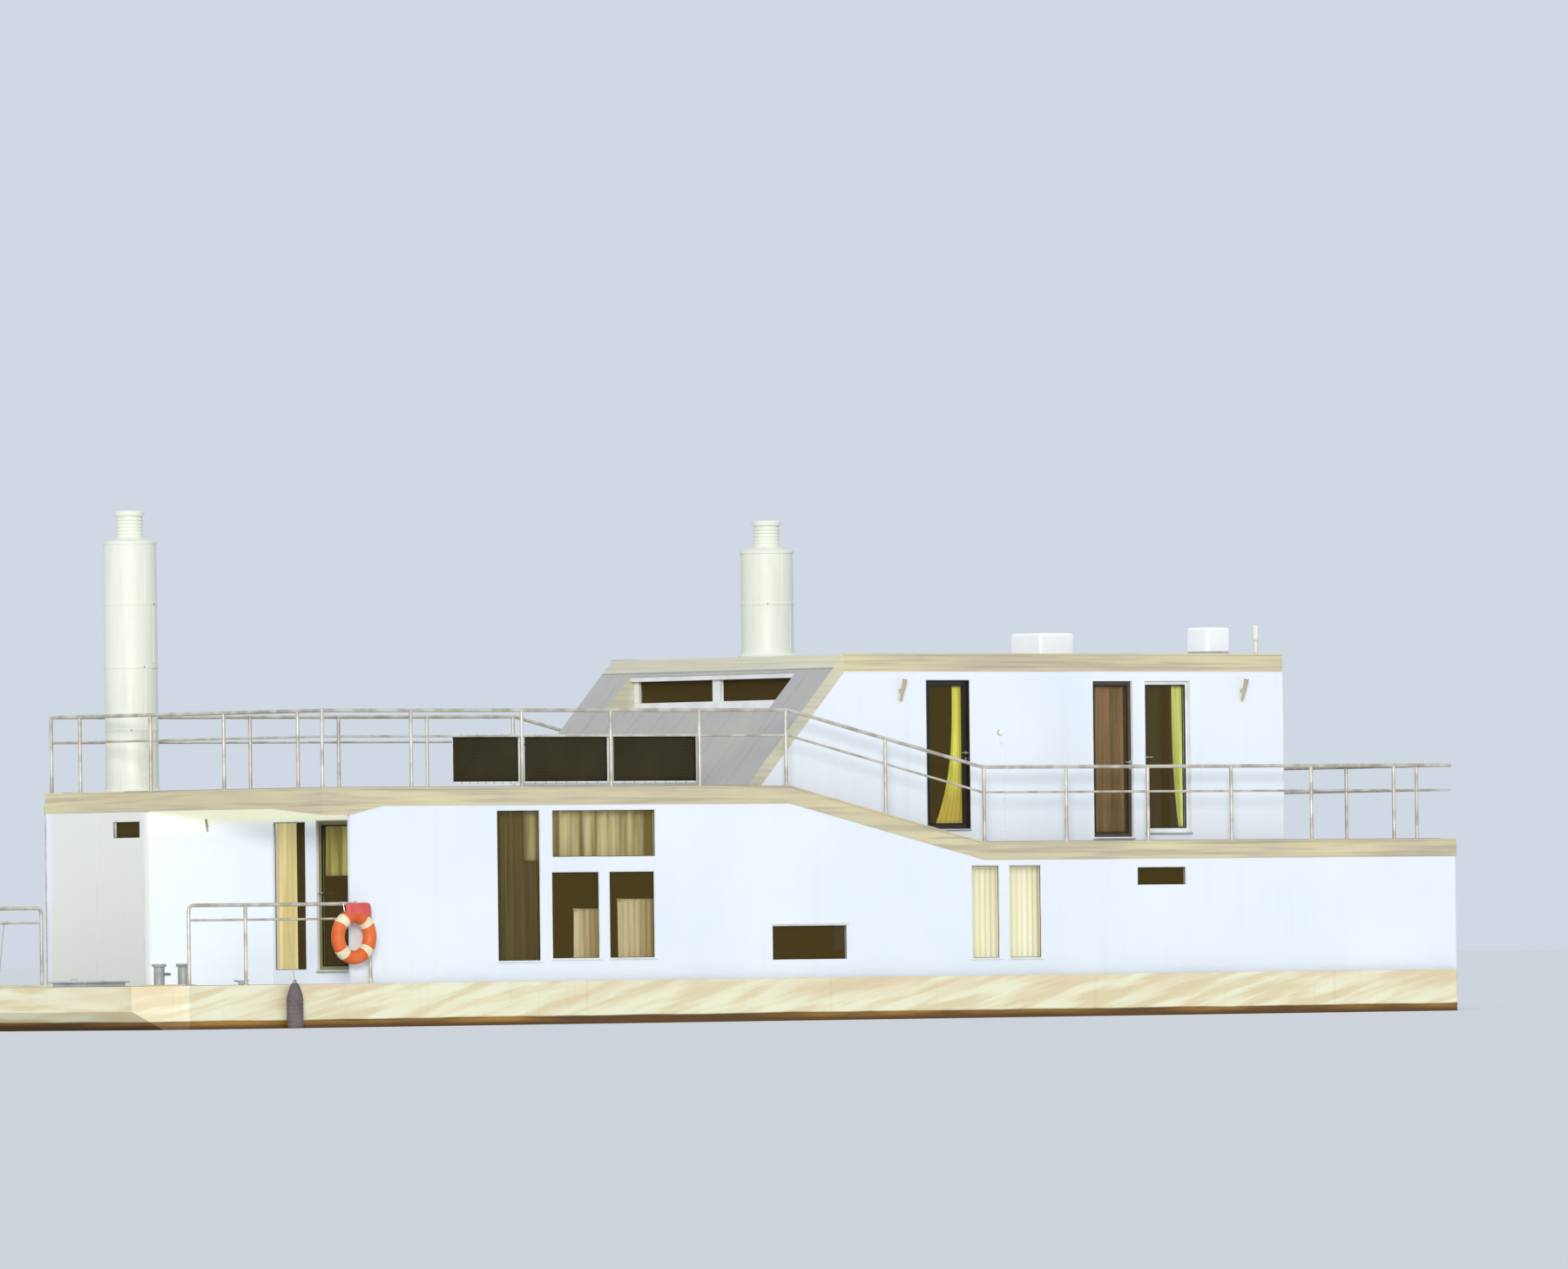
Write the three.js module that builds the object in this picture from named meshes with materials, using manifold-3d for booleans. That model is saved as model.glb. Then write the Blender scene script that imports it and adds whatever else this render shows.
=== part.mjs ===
// A flat-bottomed steel houseboat: decked pontoon hull, white two-level cabin, glazed doors, railed terraces.
// Millimetres, +X towards the stern, +Y towards the far side, +Z up, origin under the middle of the hull.
import * as THREE from "three";
import { mergeVertices } from "three/addons/utils/BufferGeometryUtils.js";
import Module from "manifold-3d";

const wasm = await Module();
wasm.setup();

// Driving dimensions. Stations s run aft from the cabin's bow end, heights z run up from the waterline.
const GAP = 0.3;
const DRAFT = 650;
const BOW_END = -9000;
const HULL = {
  s0: -3000, s1: 21000, halfWidth: 3050, deck: 590, bowTop: 250, bowRake: 1100, bowChamfer: 550, sternChamfer: 120,
};
const WELL = { s0: 1250, s1: 20700, halfWidth: 2700, floor: -50 };
const WALL = 120;
const REBATE = 30;
const PANE = 24;
const HOUSE = { s0: 0, s1: 20970, halfWidth: 2950, porch: 480, entry: 900 };
const ROOF = { fore: 3000, aft: 2200, depth: 230, kink: 8410, foot: 12000, end: 21000, landing: 8800 };
const PENT = { halfWidth: 2450, nose: 8050, brow: 9870, s1: 18140, ceiling: 4820, top: 5060, slopeDepth: 180 };
const RAIL = { radius: 25, thin: 16, height: 1055, middle: 705, inset: 60, joint: 36, sides: 8 };
const LEAF = { set: 35, thick: 45, stile: 75, stop: 25, play: 8 };

const COLOUR = {
  white: [0xf3f6f7, 0.55, 0.0], hull: [0xc9bd9f, 0.6, 0.1], fascia: [0xb9b4aa, 0.6, 0.2],
  zinc: [0x8f9aa3, 0.5, 0.6], glass: [0x2a3230, 0.1, 0.0], frame: [0x3a3d3c, 0.5, 0.2],
  rail: [0xc4c8c8, 0.4, 0.7], flue: [0xe6e8e8, 0.4, 0.3], screen: [0x23272a, 0.8, 0.0],
  ring: [0xd8432b, 0.6, 0.0], rubber: [0x2b2d30, 0.8, 0.0], green: [0xa9b23c, 0.9, 0.0],
  brown: [0x4b3128, 0.9, 0.0], cream: [0xe6ddb4, 0.9, 0.0],
};

const X = (s) => BOW_END + s;
const Z = (z) => DRAFT + z;

// Solids from three.js geometries
function solidOf(geometry) {
  const bare = geometry.clone();
  bare.deleteAttribute("normal");
  bare.deleteAttribute("uv");
  const merged = mergeVertices(bare, 0.001);
  return new wasm.Manifold(new wasm.Mesh({
    numProp: 3,
    vertProperties: new Float32Array(merged.attributes.position.array),
    triVerts: new Uint32Array(merged.index.array),
  }));
}

function geometryOf(solid) {
  const mesh = solid.getMesh();
  const geometry = new THREE.BufferGeometry();
  geometry.setAttribute("position", new THREE.BufferAttribute(new Float32Array(mesh.vertProperties), 3));
  geometry.setIndex(new THREE.BufferAttribute(new Uint32Array(mesh.triVerts), 1));
  geometry.computeVertexNormals();
  return geometry;
}

const widened = ([low, high], by) => [low - by, high + by];
const union = (solids) => solids.reduce((sum, solid) => sum.add(solid));
const without = (solid, cuts) => cuts.reduce((rest, cut) => rest.subtract(cut), solid);

// A box between stations s, widths y and heights z
function block([s0, s1], [y0, y1], [z0, z1]) {
  const box = new THREE.BoxGeometry(s1 - s0, y1 - y0, z1 - z0);
  box.translate(X((s0 + s1) / 2), (y0 + y1) / 2, Z((z0 + z1) / 2));
  return solidOf(box);
}

function extrusion(points, depth) {
  const shape = new THREE.Shape(points.map(([u, v]) => new THREE.Vector2(u, v)));
  return new THREE.ExtrudeGeometry(shape, { depth, bevelEnabled: false, curveSegments: 1 });
}

// A side view outline of [s, z] points, as wide as y0 to y1
function sidePrism(points, [y0, y1]) {
  const geometry = extrusion(points.map(([s, z]) => [X(s), Z(z)]), y1 - y0);
  geometry.rotateX(Math.PI / 2);
  geometry.translate(0, y1, 0);
  return solidOf(geometry);
}

// A plan outline of [s, y] points, as high as z0 to z1
function planPrism(points, [z0, z1]) {
  const geometry = extrusion(points.map(([s, y]) => [X(s), y]), z1 - z0);
  geometry.translate(0, 0, Z(z0));
  return solidOf(geometry);
}

// A round bar between two [s, y, z] points
function bar(from, to, radius, sides = RAIL.sides) {
  const a = new THREE.Vector3(X(from[0]), from[1], Z(from[2]));
  const b = new THREE.Vector3(X(to[0]), to[1], Z(to[2]));
  const along = b.clone().sub(a);
  const cylinder = new THREE.CylinderGeometry(radius, radius, along.length(), sides);
  const turn = new THREE.Quaternion().setFromUnitVectors(new THREE.Vector3(0, 1, 0), along.clone().normalize());
  cylinder.applyQuaternion(turn);
  cylinder.translate((a.x + b.x) / 2, (a.y + b.y) / 2, (a.z + b.z) / 2);
  return solidOf(cylinder);
}

// A turned form at [s, y] from a profile of [radius, z] points that starts and ends on the axis
function turned([s, y], profile, sides) {
  const lathe = new THREE.LatheGeometry(profile.map(([r, z]) => new THREE.Vector2(r, z)), sides);
  lathe.rotateX(Math.PI / 2);
  lathe.translate(X(s), y, Z(0));
  return solidOf(lathe);
}

const model = new THREE.Group();
function place(name, solid, colour) {
  const [hex, roughness, metalness] = COLOUR[colour];
  const material = new THREE.MeshStandardMaterial({ color: hex, roughness, metalness });
  const geometry = geometryOf(solid);
  geometry.computeBoundingBox();
  const centre = geometry.boundingBox.getCenter(new THREE.Vector3());
  geometry.translate(-centre.x, -centre.y, -centre.z);
  const mesh = new THREE.Mesh(geometry, material);
  mesh.name = name;
  mesh.position.copy(centre);
  model.add(mesh);
}

// Hull: raked and chamfered bow, flat bottom, sunken cabin floor, and a foredeck with bollards and a gangway pad
const BOLLARD = { s: -2100, y: 2250, spacing: 420, post: 70, cap: 95, height: 300, capDepth: 40, sides: 12 };
const PAD = { s: [-1650, -450], y: [1900, 2700], height: 30 };

function bollard(y) {
  const half = BOLLARD.spacing / 2;
  const foot = [BOLLARD.s - half - 130, BOLLARD.s + half + 130];
  const posts = [-half, half].map((shift) => turned([BOLLARD.s + shift, y], [
    [0, HULL.deck - 20], [BOLLARD.post, HULL.deck - 20],
    [BOLLARD.post, HULL.deck + BOLLARD.height - BOLLARD.capDepth],
    [BOLLARD.cap, HULL.deck + BOLLARD.height - BOLLARD.capDepth],
    [BOLLARD.cap, HULL.deck + BOLLARD.height], [0, HULL.deck + BOLLARD.height],
  ], BOLLARD.sides));
  return union([block(foot, [y - 120, y + 120], [HULL.deck - 20, HULL.deck + 20]), ...posts]);
}

function hull() {
  const side = sidePrism([
    [HULL.s0, HULL.deck], [HULL.s0, HULL.bowTop], [HULL.s0 + HULL.bowRake, -DRAFT],
    [HULL.s1, -DRAFT], [HULL.s1, HULL.deck],
  ], [-HULL.halfWidth, HULL.halfWidth]);
  const farEdge = [
    [HULL.s0, HULL.halfWidth - HULL.bowChamfer], [HULL.s0 + HULL.bowChamfer, HULL.halfWidth],
    [HULL.s1 - HULL.sternChamfer, HULL.halfWidth], [HULL.s1, HULL.halfWidth - HULL.sternChamfer],
  ];
  const nearEdge = farEdge.map(([s, y]) => [s, -y]);
  const plan = planPrism([...nearEdge, ...farEdge.reverse()], [-DRAFT - 10, HULL.deck + 10]);
  const well = block([WELL.s0, WELL.s1], [-WELL.halfWidth, WELL.halfWidth], [WELL.floor, HULL.deck + 100]);
  const pad = block(PAD.s, PAD.y, [HULL.deck - 20, HULL.deck + PAD.height]);
  const body = side.intersect(plan).subtract(well);
  return union([body, pad, bollard(-BOLLARD.y), bollard(BOLLARD.y)]);
}
place("hull", hull(), "hull");

// Windows of the long walls. Each row: the group, then the opening's s from, s to, z from, z to
const NEAR_WINDOWS = [
  ["group", 3090, 3880, 860, 2930],
  ["group", 4080, 5965, 2270, 2930],
  ["group", 4065, 4940, 885, 2085],
  ["group", 5100, 5940, 885, 2085],
  ["low", 8055, 9450, 830, 1320],
  ["tall_pair", 11750, 12285, 820, 2125],
  ["tall_pair", 12450, 13070, 820, 2125],
  ["small", 14865, 15805, 1815, 2085],
];
const FAR_WINDOWS = [
  ["far_fore", 5600, 6620, 900, 2080],
  ["far_fore", 6740, 7760, 900, 2080],
  ["far_aft", 14350, 15300, 950, 1950],
  ["far_aft", 15420, 16400, 950, 1950],
];
const FAR_PENT_WINDOWS = [
  ["far_pent", 13100, 14100, 3200, 4640],
  ["far_pent", 14220, 15200, 3200, 4640],
];
const RIM = 45;

// The cuts and the panes for a wall in the plane of s and z: its outer face is at y, and its inside at side
function longWallGlazing(windows, y, side) {
  const band = (near, far) => [y + side * near, y + side * far].sort((a, b) => a - b);
  const cuts = windows.map(([, s0, s1, z0, z1]) => block([s0, s1], band(-5, WALL + 5), [z0, z1]));
  const panes = {};
  for (const group of new Set(windows.map(([name]) => name))) {
    const rows = windows.filter(([name]) => name === group);
    const s = [Math.min(...rows.map((r) => r[1])) - RIM, Math.max(...rows.map((r) => r[2])) + RIM];
    const z = [Math.min(...rows.map((r) => r[3])) - RIM, Math.max(...rows.map((r) => r[4])) + RIM];
    cuts.push(block(s, band(REBATE, WALL + 5), z));
    panes[group] = block(
      [s[0] + GAP, s[1] - GAP], band(REBATE + GAP, REBATE + PANE), [z[0] + GAP, z[1] - GAP]);
  }
  return { cuts, panes };
}

function placePanes(panes) {
  for (const [group, pane] of Object.entries(panes)) place(`glass_${group}`, pane, "glass");
}

// The two long walls of the cabin. Their tops follow the roofs and the ramp between them
function longWall(s0, side, windows) {
  const y = -side * HOUSE.halfWidth;
  const outline = [
    [s0, HULL.deck + GAP], [HOUSE.s1, HULL.deck + GAP], [HOUSE.s1, ROOF.aft - GAP],
    [ROOF.foot, ROOF.aft - GAP], [ROOF.kink, ROOF.fore - GAP], [s0, ROOF.fore - GAP],
  ];
  const { cuts, panes } = longWallGlazing(windows, y, side);
  const depth = [y, y + side * WALL].sort((a, b) => a - b);
  return { solid: without(sidePrism(outline, depth), cuts), panes };
}
// In front of the entry the near wall runs on as a thin wing
const WING = 50;
const wallNear = longWall(HOUSE.porch, 1, NEAR_WINDOWS);
const besideWing = block([HOUSE.porch - 10, HOUSE.entry], [WING - HOUSE.halfWidth, WALL + 10 - HOUSE.halfWidth],
  [HULL.deck - 10, ROOF.fore + 10]);
place("wall_near", wallNear.solid.subtract(besideWing), "white");
placePanes(wallNear.panes);
const wallFar = longWall(HOUSE.s0, -1, FAR_WINDOWS);
place("wall_far", wallFar.solid, "white");
placePanes(wallFar.panes);

// Cross openings of the bow end. Widths y run from the middle of the boat
const BOW_CORNER = 830;
const ENTRY_CORNER = -790;
const BOW_WINDOW = { y: [925, 1530], z: [2600, 2845] };
const ENTRY_PANE = { y: [-1510, -825], z: [775, 2800] };
const ENTRY_DOOR = { y: [-2600, -1755], z: [775, 2800] };

function crossPane(s, { y, z }) {
  const wide = [y[0] - RIM, y[1] + RIM];
  const high = [z[0] - RIM, z[1] + RIM];
  return {
    cuts: [block([s - 5, s + WALL + 5], y, z), block([s + REBATE, s + WALL + 5], wide, high)],
    pane: block([s + REBATE + GAP, s + REBATE + PANE], widened(wide, -GAP), widened(high, -GAP)),
  };
}

function bowWall() {
  const inner = HOUSE.halfWidth - WALL - GAP;
  const mitre = WALL * Math.tan(Math.atan2(HOUSE.entry, BOW_CORNER - ENTRY_CORNER) / 2);
  const plan = planPrism([
    [HOUSE.entry, -inner], [HOUSE.entry + WALL, -inner], [HOUSE.entry + WALL, ENTRY_CORNER + mitre],
    [WALL, BOW_CORNER + mitre], [WALL, inner], [0, inner], [0, BOW_CORNER], [HOUSE.entry, ENTRY_CORNER],
  ], [HULL.deck + GAP, ROOF.fore - GAP]);
  const window = crossPane(0, BOW_WINDOW);
  const fixed = crossPane(HOUSE.entry, ENTRY_PANE);
  // A door's hole: the outer part is the stop, and the wider inner part takes the leaf with some play
  const { y, z } = ENTRY_DOOR;
  const door = [
    block([HOUSE.entry - 5, HOUSE.entry + WALL + 5], y, z),
    block([HOUSE.entry + REBATE, HOUSE.entry + WALL + 5], widened(y, LEAF.stop), widened(z, LEAF.stop)),
  ];
  placePanes({ bow: window.pane, entry: fixed.pane });
  return without(plan, [...window.cuts, ...fixed.cuts, ...door]);
}
place("wall_bow", bowWall(), "white");

function sternWall() {
  const inner = HOUSE.halfWidth - WALL - GAP;
  return block([HOUSE.s1 - WALL, HOUSE.s1], [-inner, inner], [HULL.deck + GAP, ROOF.aft - GAP]);
}
place("wall_stern", sternWall(), "white");

// Roofs and the two side ramps that join them
const fall = (ROOF.fore - ROOF.aft) / (ROOF.foot - ROOF.kink);
const rampLow = (s) => ROOF.fore - fall * (s - ROOF.kink);
const PASSAGE = HOUSE.halfWidth - PENT.halfWidth + WALL;

function foreRoof() {
  const end = ROOF.landing;
  return sidePrism([
    [HOUSE.s0, ROOF.fore], [ROOF.kink, ROOF.fore], [end, rampLow(end)],
    [end, rampLow(end) + ROOF.depth], [ROOF.kink, ROOF.fore + ROOF.depth], [HOUSE.s0, ROOF.fore + ROOF.depth],
  ], [-HOUSE.halfWidth, HOUSE.halfWidth]);
}

function ramp(side) {
  const [s0, s1] = [ROOF.landing + GAP, ROOF.foot - GAP];
  const outline = [
    [s0, rampLow(s0)], [s1, rampLow(s1)], [s1, rampLow(s1) + ROOF.depth], [s0, rampLow(s0) + ROOF.depth],
  ];
  const edge = -side * HOUSE.halfWidth;
  return sidePrism(outline, [edge, edge + side * PASSAGE].sort((a, b) => a - b));
}
const AFT_ROOF = [ROOF.aft, ROOF.aft + ROOF.depth];
place("roof_fore", foreRoof(), "fascia");
place("roof_aft", block([ROOF.foot, ROOF.end], [-HOUSE.halfWidth, HOUSE.halfWidth], AFT_ROOF), "fascia");
place("ramp_near", ramp(1), "fascia");
place("ramp_far", ramp(-1), "fascia");

// Doors of the upper cabin's near wall. Each row: name, s from, s to, sill, curtain from, to, and its colour
const DOORS = [
  ["door_mid", 11405, 12180, 2640, 0.28, 0.97, "green"],
  ["door_aft_left", 14510, 15260, 2500, 0.1, 0.9, "brown"],
  ["door_aft_right", 15490, 16350, 2570, 0.7, 0.955, "green"],
];
const DOOR_HEAD = 4690;

const slopeRun = PENT.brow - PENT.nose;
const slopeRise = PENT.top - (ROOF.fore + ROOF.depth);
const slopeAngle = Math.atan2(slopeRise, slopeRun);
const steepness = slopeRise / slopeRun;
const slopeBack = PENT.slopeDepth / Math.sin(slopeAngle);
const slopeDrop = PENT.slopeDepth / Math.cos(slopeAngle);

function pentSideWall(side, windows, doors) {
  const y = -side * PENT.halfWidth;
  const depth = [y, y + side * WALL].sort((a, b) => a - b);
  const lift = ROOF.depth + GAP;
  const outline = [
    [PENT.nose + slopeBack + GAP * 2, ROOF.fore + lift], [ROOF.kink, ROOF.fore + lift],
    [ROOF.foot, ROOF.aft + lift], [PENT.s1, ROOF.aft + lift], [PENT.s1, PENT.ceiling - GAP],
    [PENT.brow, PENT.ceiling - GAP], [PENT.brow, PENT.top - slopeDrop - GAP * 2],
  ];
  const { cuts, panes } = longWallGlazing(windows, y, side);
  for (const [, s0, s1, sill] of doors) {
    const inner = [y + REBATE, y + WALL + 5];
    cuts.push(block([s0, s1], [y - 5, y + WALL + 5], [sill, DOOR_HEAD]));
    cuts.push(block(widened([s0, s1], LEAF.stop), inner, widened([sill, DOOR_HEAD], LEAF.stop)));
  }
  return { solid: without(sidePrism(outline, depth), cuts), panes };
}
const pentNear = pentSideWall(1, [], DOORS);
place("upper_wall_near", pentNear.solid, "white");
const pentFar = pentSideWall(-1, FAR_PENT_WINDOWS, []);
place("upper_wall_far", pentFar.solid, "white");
placePanes(pentFar.panes);

const STERN_PANES = { y: [[-1250, -70], [70, 1250]], z: [2560, 4690] };

function pentSternWall() {
  const inner = PENT.halfWidth - WALL - GAP;
  const s = PENT.s1 - WALL;
  const z = widened(STERN_PANES.z, RIM);
  const y = [STERN_PANES.y[0][0] - RIM, STERN_PANES.y[1][1] + RIM];
  const cuts = STERN_PANES.y.map((wide) => block([s - 5, PENT.s1 + 5], wide, STERN_PANES.z));
  cuts.push(block([s - 5, PENT.s1 - REBATE], y, z));
  const glass = [PENT.s1 - REBATE - PANE, PENT.s1 - REBATE - GAP];
  placePanes({ upper_stern: block(glass, [y[0] + GAP, y[1] - GAP], [z[0] + GAP, z[1] - GAP]) });
  const floor = ROOF.aft + ROOF.depth + GAP;
  return without(block([s, PENT.s1], [-inner, inner], [floor, PENT.ceiling - GAP]), cuts);
}
place("upper_wall_stern", pentSternWall(), "white");

// The sloping zinc front and its recessed strip window, which has a level sill, cheeks and one mullion
const STRIP = {
  y: [-1710, 1800], z: [4320, 4815], plane: 9760, back: 9860, casing: 50,
  mullion: [-40, 110], mullionDepth: 60,
};

function slopeFront() {
  const foot = ROOF.fore + ROOF.depth + GAP;
  const panel = sidePrism([
    [PENT.nose, foot], [PENT.nose + slopeBack, foot],
    [PENT.brow - GAP, PENT.top - slopeDrop], [PENT.brow - GAP, PENT.top],
  ], [-PENT.halfWidth, PENT.halfWidth]);
  const [wide, high] = [widened(STRIP.y, STRIP.casing), widened(STRIP.z, STRIP.casing)];
  const casing = block([STRIP.plane - 600, STRIP.back], wide, high);
  const above = PENT.top + 500 * steepness;
  const outside = sidePrism([
    [PENT.nose - 1000, foot - 1000 * steepness], [PENT.brow + 500, above], [PENT.nose - 1000, above],
  ], widened(STRIP.y, 200));
  const hole = block([STRIP.plane - 800, STRIP.back + 5], STRIP.y, STRIP.z);
  const mullion = block([STRIP.plane - STRIP.mullionDepth, STRIP.plane], STRIP.mullion, widened(STRIP.z, 20));
  return without(panel.add(casing), [outside, hole]).add(mullion);
}
place("upper_slope", slopeFront(), "zinc");
placePanes({
  strip: block([STRIP.plane + GAP, STRIP.plane + PANE], [STRIP.y[0] + GAP, STRIP.y[1] - GAP],
    [STRIP.z[0] + GAP, STRIP.z[1] - GAP]),
});

// Upper roof with its short vent pipe, which is wider from its cowl up
const POLE = { s: 18000, y: -2050, radius: 27, height: 420, cowl: 44, cowlFoot: 215 };
function upperRoof() {
  const slab = block([PENT.brow, PENT.s1], [-PENT.halfWidth, PENT.halfWidth], [PENT.ceiling, PENT.top]);
  const [foot, cowl, top] = [PENT.top - 50, PENT.top + POLE.cowlFoot, PENT.top + POLE.height];
  return union([
    slab, bar([POLE.s, POLE.y, foot], [POLE.s, POLE.y, cowl + 20], POLE.radius),
    bar([POLE.s, POLE.y, cowl], [POLE.s, POLE.y, top], POLE.cowl),
  ]);
}
place("upper_roof", upperRoof(), "fascia");

// Glazed door leaves: a frame of stiles and rails round one pane, and a curtain hung on the leaf's inner face
const CLOTH = 50;
function leaf(name, wide, high, blockAt) {
  const [a0, a1] = [wide[0] - LEAF.stop + LEAF.play, wide[1] + LEAF.stop - LEAF.play];
  const [z0, z1] = [high[0] - LEAF.stop + LEAF.play, high[1] + LEAF.stop - LEAF.play];
  const light = [[a0 + LEAF.stile, a1 - LEAF.stile], [z0 + LEAF.stile, z1 - LEAF.stile]];
  const depth = [LEAF.set, LEAF.set + LEAF.thick];
  const frame = blockAt([a0, a1], depth, [z0, z1]).subtract(blockAt(light[0], [0, WALL + 50], light[1]));
  const middle = LEAF.set + LEAF.thick / 2;
  const pane = blockAt(
    widened(light[0], -GAP), [middle - PANE / 2, middle + PANE / 2], widened(light[1], -GAP));
  place(name, frame, "frame");
  place(`${name}_glass`, pane, "glass");
}

// The leaf's curtain spans the given shares of the opening's width, down to its own foot
function leafCurtain(name, wide, [from, to], [foot, head], colour, blockAt) {
  const width = wide[1] - wide[0];
  const hung = [wide[0] + width * from, wide[0] + width * to];
  const back = LEAF.set + LEAF.thick;
  place(`curtain_${name}`, blockAt(hung, [back + GAP, back + CLOTH], [foot, head - 30]), colour);
}
for (const [name, s0, s1, sill, from, to, colour] of DOORS) {
  const y = -PENT.halfWidth;
  const at = (s, depth, z) => block(s, [y + depth[0], y + depth[1]], z);
  leaf(name, [s0, s1], [sill, DOOR_HEAD], at);
  leafCurtain(name, [s0, s1], [from, to], [sill + 45, DOOR_HEAD], colour, at);
}
const ENTRY_CURTAIN_FOOT = 2050;
const entryAt = (y, depth, z) => block([HOUSE.entry + depth[0], HOUSE.entry + depth[1]], y, z);
leaf("door_entry", ENTRY_DOOR.y, ENTRY_DOOR.z, entryAt);
leafCurtain("door_entry", ENTRY_DOOR.y, [0.1, 0.9], [ENTRY_CURTAIN_FOOT, ENTRY_DOOR.z[1]], "green", entryAt);

// Curtains that hang from the ceiling behind fixed glass
const CURTAIN_Y = [-HOUSE.halfWidth + WALL + 30, -HOUSE.halfWidth + WALL + 110];
const GROUP_CURTAIN = {
  band: [3720, 6140], bandFoot: 2230, drop: [3300, 4060], foot: 760,
  halves: [[4690, 5110], [5400, 6140]], rod: [1690, 1710],
};
// One long drop, a band across the wide pane, and two half-height curtains on a rod that starts at the drop
function groupCurtain() {
  const { band, bandFoot, drop, halves, rod, foot } = GROUP_CURTAIN;
  const top = ROOF.fore - GAP;
  const middle = (CURTAIN_Y[0] + CURTAIN_Y[1]) / 2;
  return union([
    block(band, CURTAIN_Y, [bandFoot, top]), block(drop, CURTAIN_Y, [foot, top]),
    block([drop[1] - 20, band[1]], [middle - 10, middle + 10], rod),
    ...halves.map((half) => block(half, CURTAIN_Y, [foot, rod[0] + 10])),
  ]);
}
place("curtain_group", groupCurtain(), "green");
place("curtain_tall_pair", block([11870, 13260], CURTAIN_Y, [720, ROOF.aft - GAP]), "cream");
place("curtain_entry", block([HOUSE.entry + WALL + 30, HOUSE.entry + WALL + 110], [-1100, -600],
  [700, ROOF.fore - GAP]), "green");

// Rails: posts at the listed stations, a top rail and a thinner middle rail
const FORE_POSTS = [60, 1635, 3610, 5210, 6820, 8400];
const AFT_POSTS = [12060, 13600, 15140, 16725, 18260, 19850];
const AFT_CORNER = 20940;
const RAMP_POST = 10230;

// A level rail with its posts at the listed places on the line, and its bars from one end to the other
function levelRail(at, posts, [start, end], base, height, middle) {
  const bars = posts.map((p) => bar(at(p, base + GAP), at(p, base + height), RAIL.radius));
  bars.push(bar(at(start, base + height), at(end, base + height), RAIL.radius));
  bars.push(bar(at(start, base + middle), at(end, base + middle), RAIL.thin));
  return union(bars);
}

function rampRail(y) {
  const top = (s) => rampLow(s) + ROOF.depth;
  const [s0, s1] = [FORE_POSTS[FORE_POSTS.length - 1] + RAIL.joint, AFT_POSTS[0] - RAIL.joint];
  const ends = (height) => [[s0, y, ROOF.fore + ROOF.depth + height], [s1, y, ROOF.aft + ROOF.depth + height]];
  const drop = (s) => (s - s0) / (s1 - s0);
  const railTop = ROOF.fore + ROOF.depth + RAIL.height - drop(RAMP_POST) * (ROOF.fore - ROOF.aft);
  return union([
    bar(...ends(RAIL.height), RAIL.radius),
    bar(...ends(RAIL.middle), RAIL.thin),
    bar([RAMP_POST, y, top(RAMP_POST) + GAP + 8], [RAMP_POST, y, railTop], RAIL.radius),
  ]);
}

const RAIL_Y = HOUSE.halfWidth - RAIL.inset;
// Rails across the boat. Each row: name, s, roof top, posts at y, half length
const CROSS_RAILS = [
  ["rail_bow", FORE_POSTS[0], ROOF.fore + ROOF.depth, [-2378, -812, 750, 2268], RAIL_Y - RAIL.joint],
  ["rail_stern", AFT_CORNER, ROOF.aft + ROOF.depth, [-2200, -735, 735, 2200], RAIL_Y - RAIL.joint],
];
const FOREDECK = { y: 3005, height: 1080, middle: 880 };
const SIDES = [
  ["near", -1, [-2410, -1420, 770]],
  ["far", 1, [-2410, -1420, -60]],
];
for (const [label, side, deckPosts] of SIDES) {
  const along = (y) => (s, z) => [s, y, z];
  const y = side * RAIL_Y;
  const ends = (posts) => [posts[0], posts[posts.length - 1]];
  place(`rail_${label}_fore`, levelRail(
    along(y), FORE_POSTS, ends(FORE_POSTS), ROOF.fore + ROOF.depth, RAIL.height, RAIL.middle), "rail");
  place(`rail_${label}_ramp`, rampRail(y), "rail");
  place(`rail_${label}_aft`, levelRail(
    along(y), AFT_POSTS, [AFT_POSTS[0], AFT_CORNER], ROOF.aft + ROOF.depth, RAIL.height, RAIL.middle), "rail");
  place(`rail_${label}_foredeck`, levelRail(
    along(side * FOREDECK.y), deckPosts, ends(deckPosts), HULL.deck, FOREDECK.height, FOREDECK.middle), "rail");
}
for (const [name, s, base, posts, half] of CROSS_RAILS) {
  const across = (y, z) => [s, y, z];
  place(name, levelRail(across, posts, [-half, half], base, RAIL.height, RAIL.middle), "rail");
}

// Dark windbreak screens in a light frame, inside the near fore rail. Each row: s from, s to
const SCREENS = [[2410, 3580], [3690, 5180], [5290, 6790]];
const SCREEN = { z: [3290, 3955], cloth: 8, frame: 28, y: -RAIL_Y + RAIL.radius + GAP };
function screens() {
  const y = [SCREEN.y, SCREEN.y + SCREEN.frame];
  const middle = SCREEN.y + SCREEN.frame / 2;
  const span = [SCREENS[0][0], SCREENS[SCREENS.length - 1][1]];
  const bars = SCREEN.z.map((z) => block(span, y, [z - SCREEN.frame / 2, z + SCREEN.frame / 2]));
  for (const [s0, s1] of SCREENS) {
    bars.push(block([s0, s1], [middle - SCREEN.cloth / 2, middle + SCREEN.cloth / 2], SCREEN.z));
    for (const s of [s0 + SCREEN.frame / 2, s1 - SCREEN.frame / 2]) {
      bars.push(block([s - SCREEN.frame / 2, s + SCREEN.frame / 2], y, SCREEN.z));
    }
  }
  return union(bars);
}
place("windbreak", screens(), "screen");

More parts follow.
